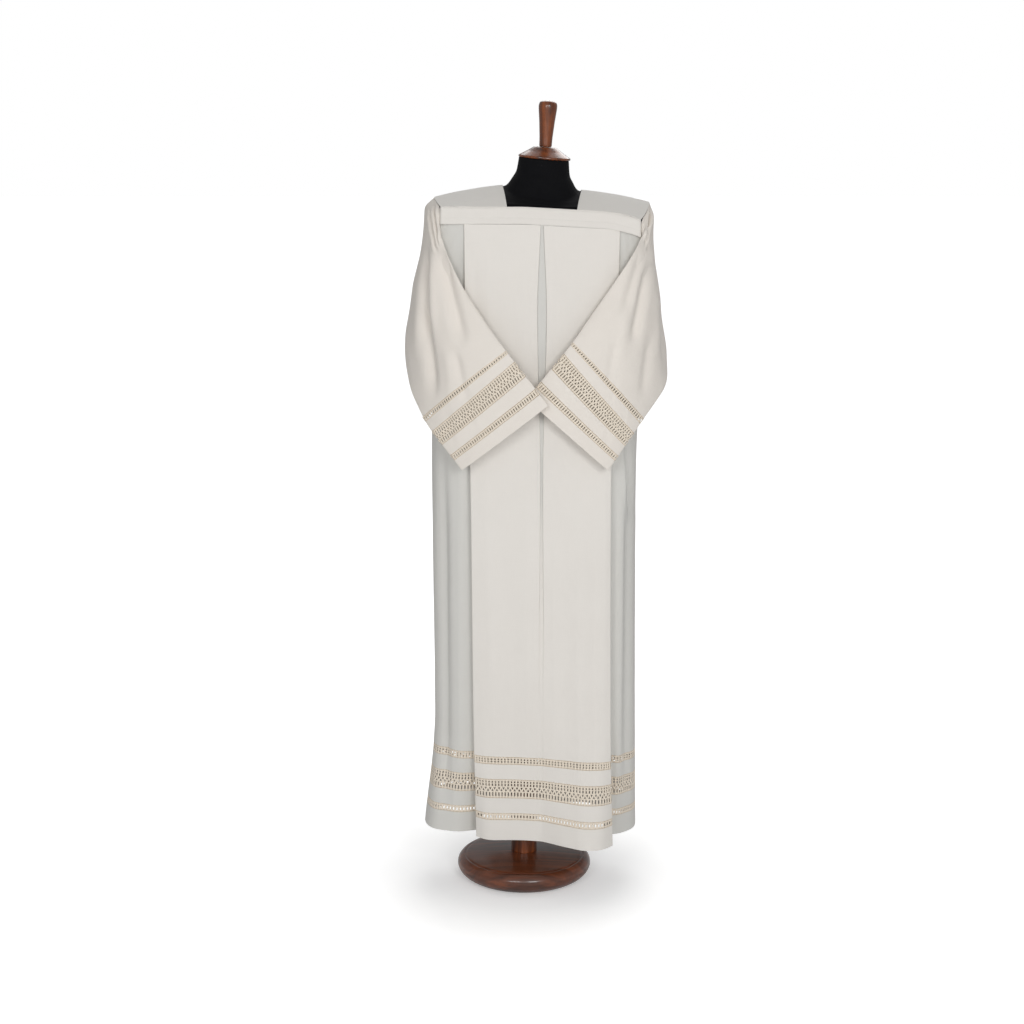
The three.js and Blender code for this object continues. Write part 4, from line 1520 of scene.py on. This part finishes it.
    def with_relief(self, grid: np.ndarray, heights: np.ndarray, share: np.ndarray) -> np.ndarray:
        """The cloth with its creases and its slight unevenness.

        Args:
            grid: Points, rows by columns.
            heights: Height of each row in the plan.
            share: Share of the creases for each column.

        Returns:
            The moved points.
        """
        normals = grid_normals(grid, False)
        x, z = grid[..., 0], grid[..., 2]
        relief = sum(crease.relief(x, z) for crease in self.creases)
        for waves in self.waves:
            relief = relief + waves.over(grid, self.face.facing)
        calm = 1 - smooth_step(PLAN_HEIGHTS[-1] - self.calm_height, PLAN_HEIGHTS[-1], heights)
        calm = self.calm_share + (1 - self.calm_share) * calm[:, None]
        column = np.arange(len(share))
        ends = np.minimum(1.0, np.minimum(column, column[::-1]) / self.calm_columns)
        outward = np.sign(np.sum(normals[..., 1]) * self.face.facing)
        return grid + outward * normals * (relief * share * ends * calm)[..., None]

    def build(self, palette: Palette) -> list[bpy.types.Object]:
        """Make the plain cloth and the lace of this half.

        Args:
            palette: Materials.

        Returns:
            The two pieces.
        """
        patch = self.patch()
        name = self.face.value
        cloth = Shell(f"{name}_cloth", palette.linen)
        threads = Threads(f"{name}_lace")
        height = 0.0
        nodes: dict[str, list[str]] = {"cloth": [f"{name}_panel"], "lace": []}
        for level, tall in HEM_BANDS:
            if level.endswith("lace"):
                lace = self.close_lace if level == "lower_lace" else self.open_lace
                lace.weave(threads, patch, height, height + tall, level == "wide_lace", level == "upper_lace")
                nodes["lace"].append(f"{name}_{level}")
            else:
                part = patch.band(height, height + tall)
                cloth.add(part, self.unshaded_backing(part))
                nodes["cloth"].append(f"{name}_{level}")
            height += tall
        part = patch.band(height, PLAN_HEIGHTS[-1])
        cloth.add(part, self.unshaded_backing(part))
        plain = cloth.build()
        open_work = threads.build((palette.lace, palette.cord))
        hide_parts(*nodes["cloth"])
        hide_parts(*nodes["lace"])
        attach(plain, "root")
        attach(open_work, "root")
        return [plain, open_work]


# ---- Yoke -------------------------------------------------------------------------------------


@dataclass
class Yoke:
    """Two flat shoulder pieces and the stitched bands that hang from their folds."""

    across_steps: int = 36
    along_steps: int = 64
    band_steps: int = 90
    band_rows: int = 16
    fold_rows: int = 5
    fold_radius: float = 2.2
    fold_gap: float = 0.6
    fold_drop: float = 0.1
    seam_share: float = 0.66
    seam_depth: float = 0.35
    seam_width: float = 1.8
    stitch: float = 2.6
    stitch_ends: float = 15.0
    hem_stitches: float = 1.6
    shoulder_cloth: float = 1.3
    band_cloth: float = 1.5
    drag: float = 1.1
    drag_width: float = 14.0
    shoulder_lift: float = 0.25
    shoulder_waves: Waves = Waves(0.5, (45.0, 60.0, 60.0), 12.0)
    band_waves: Waves = Waves(0.45, (60.0, 60.0, 30.0), 21.0)

    def shoulder(self, side: Side, palette: Palette) -> bpy.types.Object:
        """Shoulder piece from the neck edge to the armhole.

        Args:
            side: Side of the garment.
            palette: Materials.

        Returns:
            The piece.
        """
        neck = SIZES.neck_left if side is Side.LEFT else SIZES.neck_right
        armhole = ARMHOLES[side]
        depth = SIZES.yoke_depth - SIZES.seam
        y = np.linspace(-depth, depth, self.along_steps)[:, None]
        off = np.abs(y) / depth
        neck_x = neck[0] * (1 - off) + neck[1] * off
        t = np.linspace(0, 1, self.across_steps)[None]
        x = neck_x + (armhole.x_at(y) - neck_x) * t
        z = SIZES.yoke_z(x, y + 0 * x)
        grid = np.stack([x, y + 0 * x, z], -1)
        lift = self.shoulder_waves.over(grid, side.out) + self.shoulder_lift
        off_drag = grid[..., 1] + 60 + 0.4 * np.abs(x - neck[0])
        drag = self.drag * np.exp(-((off_drag / self.drag_width) ** 2))
        grid[..., 2] += np.maximum(lift + drag, 0.0) * smooth_step(0, 0.15, t) * smooth_step(0, 0.15, 1 - t)
        if side is Side.LEFT:
            grid = grid[:, ::-1]
        across = np.linspace(0, abs(float(np.mean(armhole.x_at(y) - neck_x))), self.across_steps)
        cloth = Shell(f"{side.value}_yoke_shoulder", palette.linen, self.shoulder_cloth)
        # Painted shade: the shoulder faces up, away from the front lamps, so it takes part of the painted
        # shade tone.
        cloth.add(Patch(grid, across, np.linspace(0, 2 * depth, self.along_steps)), 0.55)
        piece = cloth.build()
        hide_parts(f"{side.value}_shoulder")
        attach(piece, "root")
        return piece

    def band(self, face: Face, palette: Palette) -> list[bpy.types.Object]:
        """Stitched band with its folded upper and lower edge.

        Args:
            face: Front or back.
            palette: Materials.

        Returns:
            The band and its stitches.
        """
        left, right = ARMHOLES[Side.LEFT].front_x, ARMHOLES[Side.RIGHT].front_x
        x = np.linspace(left, right, self.band_steps)
        top = SIZES.fold_z(x)
        face_y = SIZES.yoke_depth + self.fold_gap
        rows = []
        for angle in np.linspace(0, np.pi / 2, self.fold_rows):
            out = face_y - self.fold_radius * (1 - math.sin(angle))
            down = self.fold_drop + self.fold_radius * (1 - math.cos(angle))
            rows.append((out, down))
        for share in np.linspace(0.08, 1.0, self.band_rows):
            rows.append((face_y + SIZES.band_flare * share, SIZES.band_height * share))
        grid = np.array([
            np.column_stack([x, np.full_like(x, face.facing * out), top - down]) for out, down in rows
        ])
        grid = grid[::-1]
        waver = self.band_waves.over(grid, face.facing)
        seam = SIZES.band_height * self.seam_share
        depth_down = np.array([down for _, down in rows])[::-1]
        groove = -self.seam_depth * np.exp(-(((depth_down - seam) / self.seam_width) ** 2))
        grid[..., 1] += face.facing * (np.abs(waver) + groove[:, None])
        ends = [grid[:, :1].copy(), grid[:, -1:].copy()]
        for end in ends:
            end[..., 1] = face.facing * (ARMHOLES[Side.LEFT].depth - 1.5)
        grid = np.concatenate([ends[0], grid, ends[1]], axis=1)
        if face is Face.BACK:
            grid = grid[:, ::-1]
        up = running(np.linalg.norm(np.diff(grid[:, 1], axis=0), axis=1))
        steps = np.linalg.norm(np.diff(grid[0], axis=0), axis=1)
        patch = Patch(grid, running(steps), up)
        cloth = Shell(f"{face.value}_yoke_band", palette.linen, self.band_cloth)
        cloth.add(patch)
        piece = cloth.build()
        stitches = Threads(f"{face.value}_yoke_stitches", sides=4)
        for t in (self.hem_stitches, up[-1] - seam - self.fold_radius * 0.6):
            starts = np.arange(self.stitch_ends, patch.length - self.stitch_ends, self.stitch)
            s = starts[:, None] + np.array([[0.0, 0.9, 1.8]])
            points, normals = patch.at(s, np.full_like(s, t))
            arch = np.array([0.75, 1.0, 0.75])[None, :, None]
            stitches.run(points + normals * arch, normals, 0.45, 0.4)
        # The stitches carry no layers attribute, so the linen material gives them its full painted-shade
        # tone.
        thread = stitches.build((palette.linen,))
        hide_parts(f"{face.value}_band")
        for part in (piece, thread):
            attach(part, "root")
        return [piece, thread]

    def build(self, palette: Palette) -> list[bpy.types.Object]:
        """Make both shoulders and both bands.

        Args:
            palette: Materials.

        Returns:
            The six pieces.
        """
        pieces = [self.shoulder(side, palette) for side in Side]
        for face in Face:
            pieces += self.band(face, palette)
        LOG.info("yoke: %d pieces", len(pieces))
        return pieces


# ---- Sleeves ----------------------------------------------------------------------------------


@dataclass
class Sleeve:
    """A sleeve with its gathered head and its lace cuff."""

    side: Side
    columns: int = 176
    rows: int = 130
    band_rows: int = 4
    head_inset: float = 0.9
    tuck_turn: float = 0.19
    tuck_width: float = 0.08
    tuck_share: float = 0.75
    easing: int = 40
    softening: int = 8
    calming: int = 4
    lowest: float = 0.3
    waves: tuple[Waves, ...] = (
        Waves(1.0, (45.0, 60.0, 90.0), 30.0),
        Waves(0.5, (22.0, 40.0, 34.0), 36.0),
    )
    lace: LadderLace = LadderLace(6.4, 5.0, 3.1, 2.2, 4.2, 1.0, 1.0, 0.3)
    upper_lace: LadderLace = LadderLace(6.4, 5.0, 2.5, 2.2, 4.2, 1.0, 1.0, 0.3)

    def rings(self) -> np.ndarray:
        """Sections from the armhole to the cuff.

        Returns:
            Sections by points by three.
        """
        turns = np.arange(self.columns) / self.columns
        armhole = ARMHOLES[self.side]
        start = armhole.ring(SIZES, self.columns, self.head_inset)
        start[:, 0] += armhole.side.out * SIZES.seam
        rings = np.array([start] + [section.ring(turns) for section in SLEEVES[self.side]])
        tuck = self.tuck_share * np.exp(-(((turns - self.tuck_turn) / self.tuck_width) ** 2))[:, None]
        rings[1] += tuck * ((rings[0] + rings[2]) / 2 - rings[1])
        return rings

    def patch(self) -> tuple[Patch, float]:
        """The whole sleeve with its cuff, lower edge first, and the cuff's height.

        Returns:
            The patch and the height.
        """
        rings = self.rings()
        last = len(rings) - 1
        cuff = sum(tall for _, tall in CUFF_BANDS)
        heights = running([tall for _, tall in CUFF_BANDS])
        low = np.concatenate([
            np.linspace(a, b, self.band_rows, endpoint=False) for a, b in zip(heights[:-1], heights[1:])
        ])
        stations = np.concatenate([last - low / cuff, np.linspace(last - 1, 0, self.rows)])
        index = np.arange(len(rings), dtype=float)
        grid = np.array([through(index, rings, float(s)) for s in stations])
        free = smooth_step(0.0, 0.25, stations) * smooth_step(0.9, 1.3, last - stations)
        for _ in range(self.easing):
            eased = (grid[2:] + grid[:-2] - 2 * grid[1:-1]) / 4
            grid[1:-1] += eased * free[1:-1, None, None]
        grid = self.with_relief(grid, stations)
        middle = grid.mean(axis=1)
        climb = np.linalg.norm(np.diff(middle[len(low):], axis=0), axis=1)
        up = np.concatenate([low, cuff + running(np.maximum(climb, self.lowest))])
        edges = np.linalg.norm(np.diff(np.concatenate([grid, grid[:, :1]], axis=1), axis=1), axis=2)
        across = running(edges[: len(low)].mean(axis=0))
        return self.oriented(grid, across, up), cuff

    def oriented(self, grid: np.ndarray, across: np.ndarray, up: np.ndarray) -> Patch:
        """A patch whose normals point out of the sleeve.

        Args:
            grid: Points, rows by columns.
            across: Distance of each column from the first.
            up: Distance of each row from the lowest.

        Returns:
            The patch.
        """
        patch = Patch(grid, across, up, True)
        centre = grid.mean(axis=1, keepdims=True)
        if np.sum(patch.normals * (grid - centre)) < 0:
            turned = np.roll(grid[:, ::-1], 1, axis=1)
            back = running(np.diff(across)[::-1])
            return Patch(turned, back, up, True)
        return patch

    def with_relief(self, grid: np.ndarray, stations: np.ndarray) -> np.ndarray:
        """The sleeve with its gathers and folds.

        Args:
            grid: Points, rows by columns.
            stations: Place of each row between the sections.

        Returns:
            The moved points.
        """
        raw = grid_normals(grid, True)
        normals = softened(raw, self.softening)
        calm = smooth_step(0.3, 0.9, np.sum(raw * normals, axis=-1))
        for _ in range(self.calming):
            calm = np.minimum(calm, (np.roll(calm, 1, axis=1) + calm + np.roll(calm, -1, axis=1)) / 3)
        centre = grid.mean(axis=1, keepdims=True)
        normals *= 1.0 if np.sum(normals * (grid - centre)) > 0 else -1.0
        x, z = grid[..., 0], grid[..., 2]
        front = smooth_step(0.0, 0.45, -normals[..., 1])
        back = smooth_step(0.0, 0.45, normals[..., 1])
        relief = front * sum(crease.relief(x, z) for crease in SLEEVE_CREASES[self.side])
        relief += back * sum(crease.relief(x, z) for crease in SLEEVE_BACK_CREASES[self.side])
        for waves in self.waves:
            relief += waves.over(grid, self.side.out)
        outer = np.cos(2 * np.pi * np.arange(self.columns) / self.columns)
        relief *= smooth_step(-0.35, 0.1, outer)[None]
        seam = smooth_step(0.0, 0.2, stations)
        hem = 0.3 + 0.7 * smooth_step(0.0, 2.0, stations[0] - stations)
        return grid + normals * (relief * calm * seam[:, None] * hem[:, None])[..., None]

    def build(self, palette: Palette) -> list[bpy.types.Object]:
        """Make the sleeve's plain cloth and its lace.

        Args:
            palette: Materials.

        Returns:
            The two pieces.
        """
        patch, cuff = self.patch()
        name = self.side.value
        cloth = Shell(f"{name}_sleeve_cloth", palette.sleeve_linen)
        threads = Threads(f"{name}_sleeve_lace")
        lengths = [f"{name}_sleeve_{length}" for length in ("upper", "elbow", "lower")]
        nodes: dict[str, list[str]] = {"cloth": lengths, "lace": []}
        height = 0.0
        for level, tall in CUFF_BANDS:
            node = f"{name}_cuff_{level}"
            if level.endswith("lace"):
                work = self.upper_lace if level == "upper_lace" else self.lace
                work.weave(threads, patch, height, height + tall, level == "wide_lace", False)
                nodes["lace"].append(node)
            else:
                cloth.add(patch.band(height, height + tall))
                nodes["cloth"].append(node)
            height += tall
        cloth.add(patch.band(cuff, float(patch.up[-1])))
        plain = cloth.build()
        open_work = threads.build((palette.lace, palette.cord))
        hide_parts(*nodes["cloth"])
        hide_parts(*nodes["lace"])
        for part, slot in ((plain, "linen"), (open_work, "lace")):
            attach(part, "root")
        LOG.info("%s sleeve: cuff %.3f m round", name, patch.length * MM)
        return [plain, open_work]


# ---- Dress form and stand ---------------------------------------------------------------------


@dataclass(frozen=True)
class FormRing:
    """Level ring of the form, with its height and half of its width and depth."""

    z: float
    half_width: float
    half_depth: float


@dataclass
class DressForm:
    """Limbless torso in jersey with a turned cap, handle, pole and foot."""

    lean: float = math.radians(3.5)
    lean_start: float = 1000.0
    clearance: float = 1.5
    sides: int = 96
    squareness: float = 0.85
    loft_steps: int = 8
    ring_tilt: float = 0.04
    shoulder_height: float = 1620.0
    girth: float = 1000.0
    ring_gap: float = 60.0
    bottom: float = 900.0
    cap_tilt: float = math.radians(4.8)
    cap_centre: tuple[float, float] = (44.0, 1701.2)
    cap_lift: float = -3.0
    handle_lift: float = 23.6
    pole_radius: float = 30.5
    foot_height: float = 58.0
    profile_step: float = 6.0
    profile_bends: int = 5
    torso: tuple[FormRing, ...] = (
        FormRing(900, 150, 88),
        FormRing(930, 158, 94),
        FormRing(1000, 160, 96),
        FormRing(1130, 142, 92),
        FormRing(1250, 150, 98),
        FormRing(1400, 172, 104),
        FormRing(1500, 192, 101),
        FormRing(1560, 204, 98),
    )
    shoulders: tuple[tuple[float, float], ...] = ((206, 99), (168, 92), (128, 82), (84, 72))
    neck: tuple[FormRing, ...] = (FormRing(1652, 68, 64), FormRing(1668, 60, 58), FormRing(1698, 56, 55))
    foot_profile: tuple[tuple[float, float], ...] = (
        (0, 0), (126, 0), (137, 2.5), (147, 8), (155, 16), (159.5, 26), (158.5, 37), (152, 46),
        (144, 50.5), (140, 49), (136, 51.5), (70, 56), (36, 58), (0, 58),
    )
    cap_profile: tuple[tuple[float, float], ...] = (
        (0, 0), (56, 0), (58.5, 1.5), (58.5, 5), (56, 6.5), (40, 16), (26, 25.5), (24, 26), (0, 26),
    )
    handle_profile: tuple[tuple[float, float], ...] = (
        (0, 0), (14, 0), (14.6, 20), (17.5, 56), (20.6, 84), (20.8, 92), (18.4, 98.5), (12.5, 101.4),
        (6, 102), (0, 102),
    )

    def lean_x(self, z: float) -> float:
        """X of the form's middle at a height."""
        return (z - self.lean_start) * math.tan(self.lean)

    def ring(self, width: float, depth: float, x: float) -> np.ndarray:
        """Plan points of one ring.

        Args:
            width: Half of its width.
            depth: Half of its depth.
            x: Place of its middle across.

        Returns:
            Points by two.
        """
        angle = 2 * np.pi * np.arange(self.sides) / self.sides
        across, along = np.cos(angle), np.sin(angle)
        return np.column_stack([
            x + width * np.sign(across) * np.abs(across) ** self.squareness,
            depth * np.sign(along) * np.abs(along) ** self.squareness,
        ])

    def torso_rings(self) -> list[np.ndarray]:
        """Main rings of the torso from its bottom to the neck's top.

        Returns:
            One array of points for each ring.
        """
        rings = []
        for row in self.torso:
            plan = self.ring(row.half_width, row.half_depth, self.lean_x(row.z))
            tilt = self.ring_tilt if row.z > self.lean_start else 0.0
            rings.append(np.column_stack([plan, row.z - tilt * (plan[:, 0] - self.lean_x(row.z))]))
        for width, depth in self.shoulders:
            plan = self.ring(width, depth, self.lean_x(self.shoulder_height))
            rings.append(np.column_stack([plan, SIZES.yoke_z(plan[:, 0], plan[:, 1]) - self.clearance]))
        for row in self.neck:
            plan = self.ring(row.half_width, row.half_depth, self.lean_x(row.z))
            drop = math.tan(self.cap_tilt) * (plan[:, 0] - self.lean_x(row.z))
            rings.append(np.column_stack([plan, row.z - drop]))
        return rings

    def build_torso(self, palette: Palette) -> bpy.types.Object:
        """Torso as one closed skin.

        Args:
            palette: Materials.

        Returns:
            The piece.
        """
        rings = np.array(self.torso_rings())
        index = np.arange(len(rings), dtype=float)
        stations = np.linspace(0, len(rings) - 1, self.loft_steps * (len(rings) - 1) + 1)
        grid = np.array([through(index, rings, float(s)) for s in stations])
        quads = grid_quads(len(grid), self.sides, True)
        uv = corner_uv(np.linspace(0, self.girth, self.sides + 1), stations * self.ring_gap)
        piece = make_object("form", grid.reshape(-1, 3) * MM, quads, palette.jersey, uv * MM)
        fill_ends(piece, self.sides)
        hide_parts("form_torso")
        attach(piece, "root")
        return piece

    def turned(
        self,
        name: str,
        profile: Sequence[tuple[float, float]],
        place: Callable[[np.ndarray], np.ndarray],
        material: bpy.types.Material,
        rounding: float = 2.0,
    ) -> bpy.types.Object:
        """A turned piece from its profile.

        Args:
            name: Name of the object.
            profile: Radius and height from the lower end up.
            place: Moves the turned points to where the piece stands.
            material: Its material.
            rounding: Radius of the profile's corners.

        Returns:
            The new piece.
        """
        corners = np.array(profile, float)
        lengths = np.linalg.norm(np.diff(corners, axis=0), axis=1)
        steps = [max(int(length / self.profile_step), 1) for length in lengths]
        path = round_corners(corners, np.full(len(corners), rounding), steps, self.profile_bends)[1:-1]
        sides = self.sides * 2
        angle = 2 * np.pi * np.arange(sides) / sides
        ring = np.stack([np.cos(angle), np.sin(angle)], -1)
        flat = path[:, None, :1] * ring[None]
        rise = np.broadcast_to(path[:, None, 1:], flat.shape[:2] + (1,))
        grid = place(np.concatenate([flat, rise], axis=2))
        piece = make_object(name, grid.reshape(-1, 3) * MM, grid_quads(len(path), sides, True), material)
        fill_ends(piece, sides)
        return piece

    def tilted(self, angle: float, lift: float) -> Callable[[np.ndarray], np.ndarray]:
        """Placement on the neck: tilted about the cap's middle and raised along its axis.

        Args:
            angle: Tilt of the piece.
            lift: Distance along the cap's axis.

        Returns:
            A function that moves turned points.
        """
        x0, z0 = self.cap_centre

        def place(points: np.ndarray) -> np.ndarray:
            """Move turned points to the neck."""
            x, z = points[..., 0], points[..., 2]
            base = np.array([math.sin(self.cap_tilt), math.cos(self.cap_tilt)]) * lift
            return np.stack(
                [
                    x0 + base[0] + x * math.cos(angle) + z * math.sin(angle),
                    points[..., 1],
                    z0 + base[1] - x * math.sin(angle) + z * math.cos(angle),
                ],
                -1,
            )

        return place

    def build(self, palette: Palette) -> list[bpy.types.Object]:
        """Make the form and its stand.

        Args:
            palette: Materials.

        Returns:
            The five pieces.
        """
        pieces = [self.build_torso(palette)]
        length = self.bottom - SIZES.seam - self.foot_height - SIZES.seam
        pole = ((0, 0), (self.pole_radius, 0), (self.pole_radius, length), (0, length))
        lifted = self.foot_height + SIZES.seam
        cap_place = self.tilted(self.cap_tilt, self.cap_lift)
        handle_place = self.tilted(self.lean, self.handle_lift)
        turned = (
            ("neck_cap_wood", "neck_cap", self.cap_profile, cap_place, 1.2),
            ("neck_handle_wood", "neck_handle", self.handle_profile, handle_place, 3.0),
            ("pole_wood", "pole", pole, lambda p: p + np.array([0, 0, lifted]), 0.8),
            ("foot_wood", "foot", self.foot_profile, lambda p: p, 4.0),
        )
        for name, node, profile, place, rounding in turned:
            material = palette.foot_wood if node == "foot" else palette.turned_wood
            piece = self.turned(name, profile, place, material, rounding)
            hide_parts(node)
            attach(piece, "root")
            pieces.append(piece)
        LOG.info("form and stand: %d pieces", len(pieces))
        return pieces


def fill_ends(piece: bpy.types.Object, sides: int) -> None:
    """Close the first and the last ring of a lofted mesh with flat faces.

    Args:
        piece: Object with the mesh.
        sides: Points of one ring.
    """
    mesh = piece.data
    count = len(mesh.vertices)
    rings = ([*range(sides)][::-1], [*range(count - sides, count)])
    points = [tuple(v.co) for v in mesh.vertices]
    faces = [tuple(p.vertices) for p in mesh.polygons] + [tuple(ring) for ring in rings]
    layer = mesh.uv_layers.active
    old = None
    if layer is not None:
        old = np.zeros(len(mesh.loops) * 2)
        layer.data.foreach_get("uv", old)
    material = mesh.materials[0]
    name = mesh.name
    fresh = bpy.data.meshes.new(name + "_closed")
    fresh.from_pydata(points, [], faces)
    fresh.materials.append(material)
    fresh.polygons.foreach_set("use_smooth", [len(f) == 4 for f in faces])
    if old is not None:
        uv = fresh.uv_layers.new(name="cloth")
        full = np.zeros(len(fresh.loops) * 2)
        full[: len(old)] = old
        uv.data.foreach_set("uv", full)
    fresh.update()
    piece.data = fresh
    bpy.data.meshes.remove(mesh)
    fresh.name = name


# ---- Studio -----------------------------------------------------------------------------------


@dataclass(frozen=True)
class SoftBox:
    """Large soft light that looks at a point of the garment, in metres and watts."""

    name: str
    place: tuple[float, float, float]
    target: tuple[float, float, float]
    size: float
    power: float
    colour: tuple[float, float, float] = (1.0, 1.0, 1.0)

    def build(self) -> None:
        """Hang the light."""
        light = bpy.data.lights.new(self.name, "AREA")
        light.shape = "DISK"
        light.size = self.size
        light.energy = self.power
        light.color = self.colour
        lamp = bpy.data.objects.new(self.name, light)
        lamp.location = self.place
        direction = Vector(self.target) - Vector(self.place)
        lamp.rotation_euler = direction.to_track_quat("-Z", "Y").to_euler()
        bpy.context.scene.collection.objects.link(lamp)


@dataclass
class Studio:
    """Pale floor, soft lights, white surroundings and the camera."""

    surroundings: float = 0.35
    floor_glow: float = 0.86
    foot_glow: float = 0.3
    glow_reach: tuple[float, float] = (0.22, 0.75)
    floor_size: float = 30.0
    floor_drop: float = 0.0005
    lens: float = 71.79
    sensor: float = 36.0
    camera_place: tuple[float, float, float] = (0.0, -4.65, 1.862)
    looks_down: float = 11.83
    looks_left: float = 0.3567
    far_end: float = 100.0
    lights: tuple[SoftBox, ...] = (
        SoftBox("fill", (-1.3, -4.5, 2.5), (0.05, 0.0, 0.9), 1.6, 45.0),
        SoftBox("key", (1.3, -4.5, 2.5), (0.05, 0.0, 0.9), 1.6, 65.0, (0.99, 0.995, 1.0)),
        SoftBox("back", (0.4, 2.6, 3.4), (0.05, 0.0, 1.4), 2.4, 36.0),
    )

    def build_world(self) -> None:
        """White surroundings, brighter to the eye than as a light."""
        world = bpy.data.worlds.new("white_room")
        bpy.context.scene.world = world
        world.use_nodes = True
        tree = Tree(world.node_tree)
        world.node_tree.nodes.clear()
        soft = tree.add("Background", {"Color": WHITE, "Strength": self.surroundings})
        seen = tree.add("Background", {"Color": WHITE, "Strength": 1.0})
        path = tree.add("LightPath")
        mix = tree.add(
            "MixShader", {0: path.outputs["Is Camera Ray"], 1: soft.outputs[0], 2: seen.outputs[0]}
        )
        tree.add("OutputWorld", {"Surface": mix.outputs[0]})

    def build_floor(self) -> None:
        """Plain pale floor."""
        mesh = bpy.data.meshes.new("floor")
        size = self.floor_size
        corners = [(-size, -size, 0), (size, -size, 0), (size, size, 0), (-size, size, 0)]
        mesh.from_pydata(corners, [], [(0, 1, 2, 3)])
        floor = bpy.data.objects.new("floor", mesh)
        floor.location.z = -self.floor_drop
        bpy.context.scene.collection.objects.link(floor)
        material, tree, shader = new_material("pale_floor")
        place = tree.add("TexCoord")
        cloud = tree.add("TexNoise", {"Vector": place.outputs["Object"], "Scale": 3.0})
        tone = tree.add("MapRange", {0: cloud.outputs["Fac"], 3: 0.86, 4: 0.9})
        tree.feed(shader.inputs["Base Color"], tone.outputs[0])
        shader.inputs["Roughness"].default_value = 0.75
        shader.inputs["Emission Color"].default_value = WHITE
        reach = tree.add("VectorMath", {0: place.outputs["Object"]}, operation="LENGTH")
        near, far = self.glow_reach
        glow = tree.add(
            "MapRange", {0: reach.outputs["Value"], 1: near, 2: far, 3: self.foot_glow, 4: self.floor_glow}
        )
        seen = tree.maths("MULTIPLY", glow.outputs[0], tree.add("LightPath").outputs["Is Camera Ray"])
        tree.feed(shader.inputs["Emission Strength"], seen)
        mesh.materials.append(material)

    def build_camera(self) -> None:
        """Camera a little above the yoke, looking down at the middle of the garment."""
        data = bpy.data.cameras.new("camera")
        data.lens = self.lens
        data.sensor_width = self.sensor
        data.dof.use_dof = False
        data.clip_end = self.far_end
        camera = bpy.data.objects.new("camera", data)
        camera.location = self.camera_place
        camera.rotation_euler = (math.radians(90 - self.looks_down), 0.0, math.radians(self.looks_left))
        bpy.context.scene.collection.objects.link(camera)
        bpy.context.scene.camera = camera

    def build(self) -> None:
        """Set up the whole studio."""
        self.build_world()
        self.build_floor()
        self.build_camera()
        for light in self.lights:
            light.build()
        view = bpy.context.scene.view_settings
        view.view_transform = "Standard"
        view.look = "None"
        view.exposure = 0.0
        LOG.info("studio: %d lights", len(self.lights))


def main() -> None:
    """Build the garment, its form and the studio."""
    logging.basicConfig(level=logging.INFO, format="%(message)s")
    palette = Palette()
    pieces = DressForm().build(palette)
    pieces += Yoke().build(palette)
    pieces += BodyHalf(Face.FRONT, FRONT_PLAN, FRONT_CREASES).build(palette)
    pieces += BodyHalf(Face.BACK, BACK_PLAN, BACK_CREASES).build(palette)
    for side in Side:
        pieces += Sleeve(side).build(palette)
    Studio().build()
    for piece in pieces:
        LOG.info("%s: %d faces", piece.name, len(piece.data.polygons))


if __name__ == "__main__":
    main()
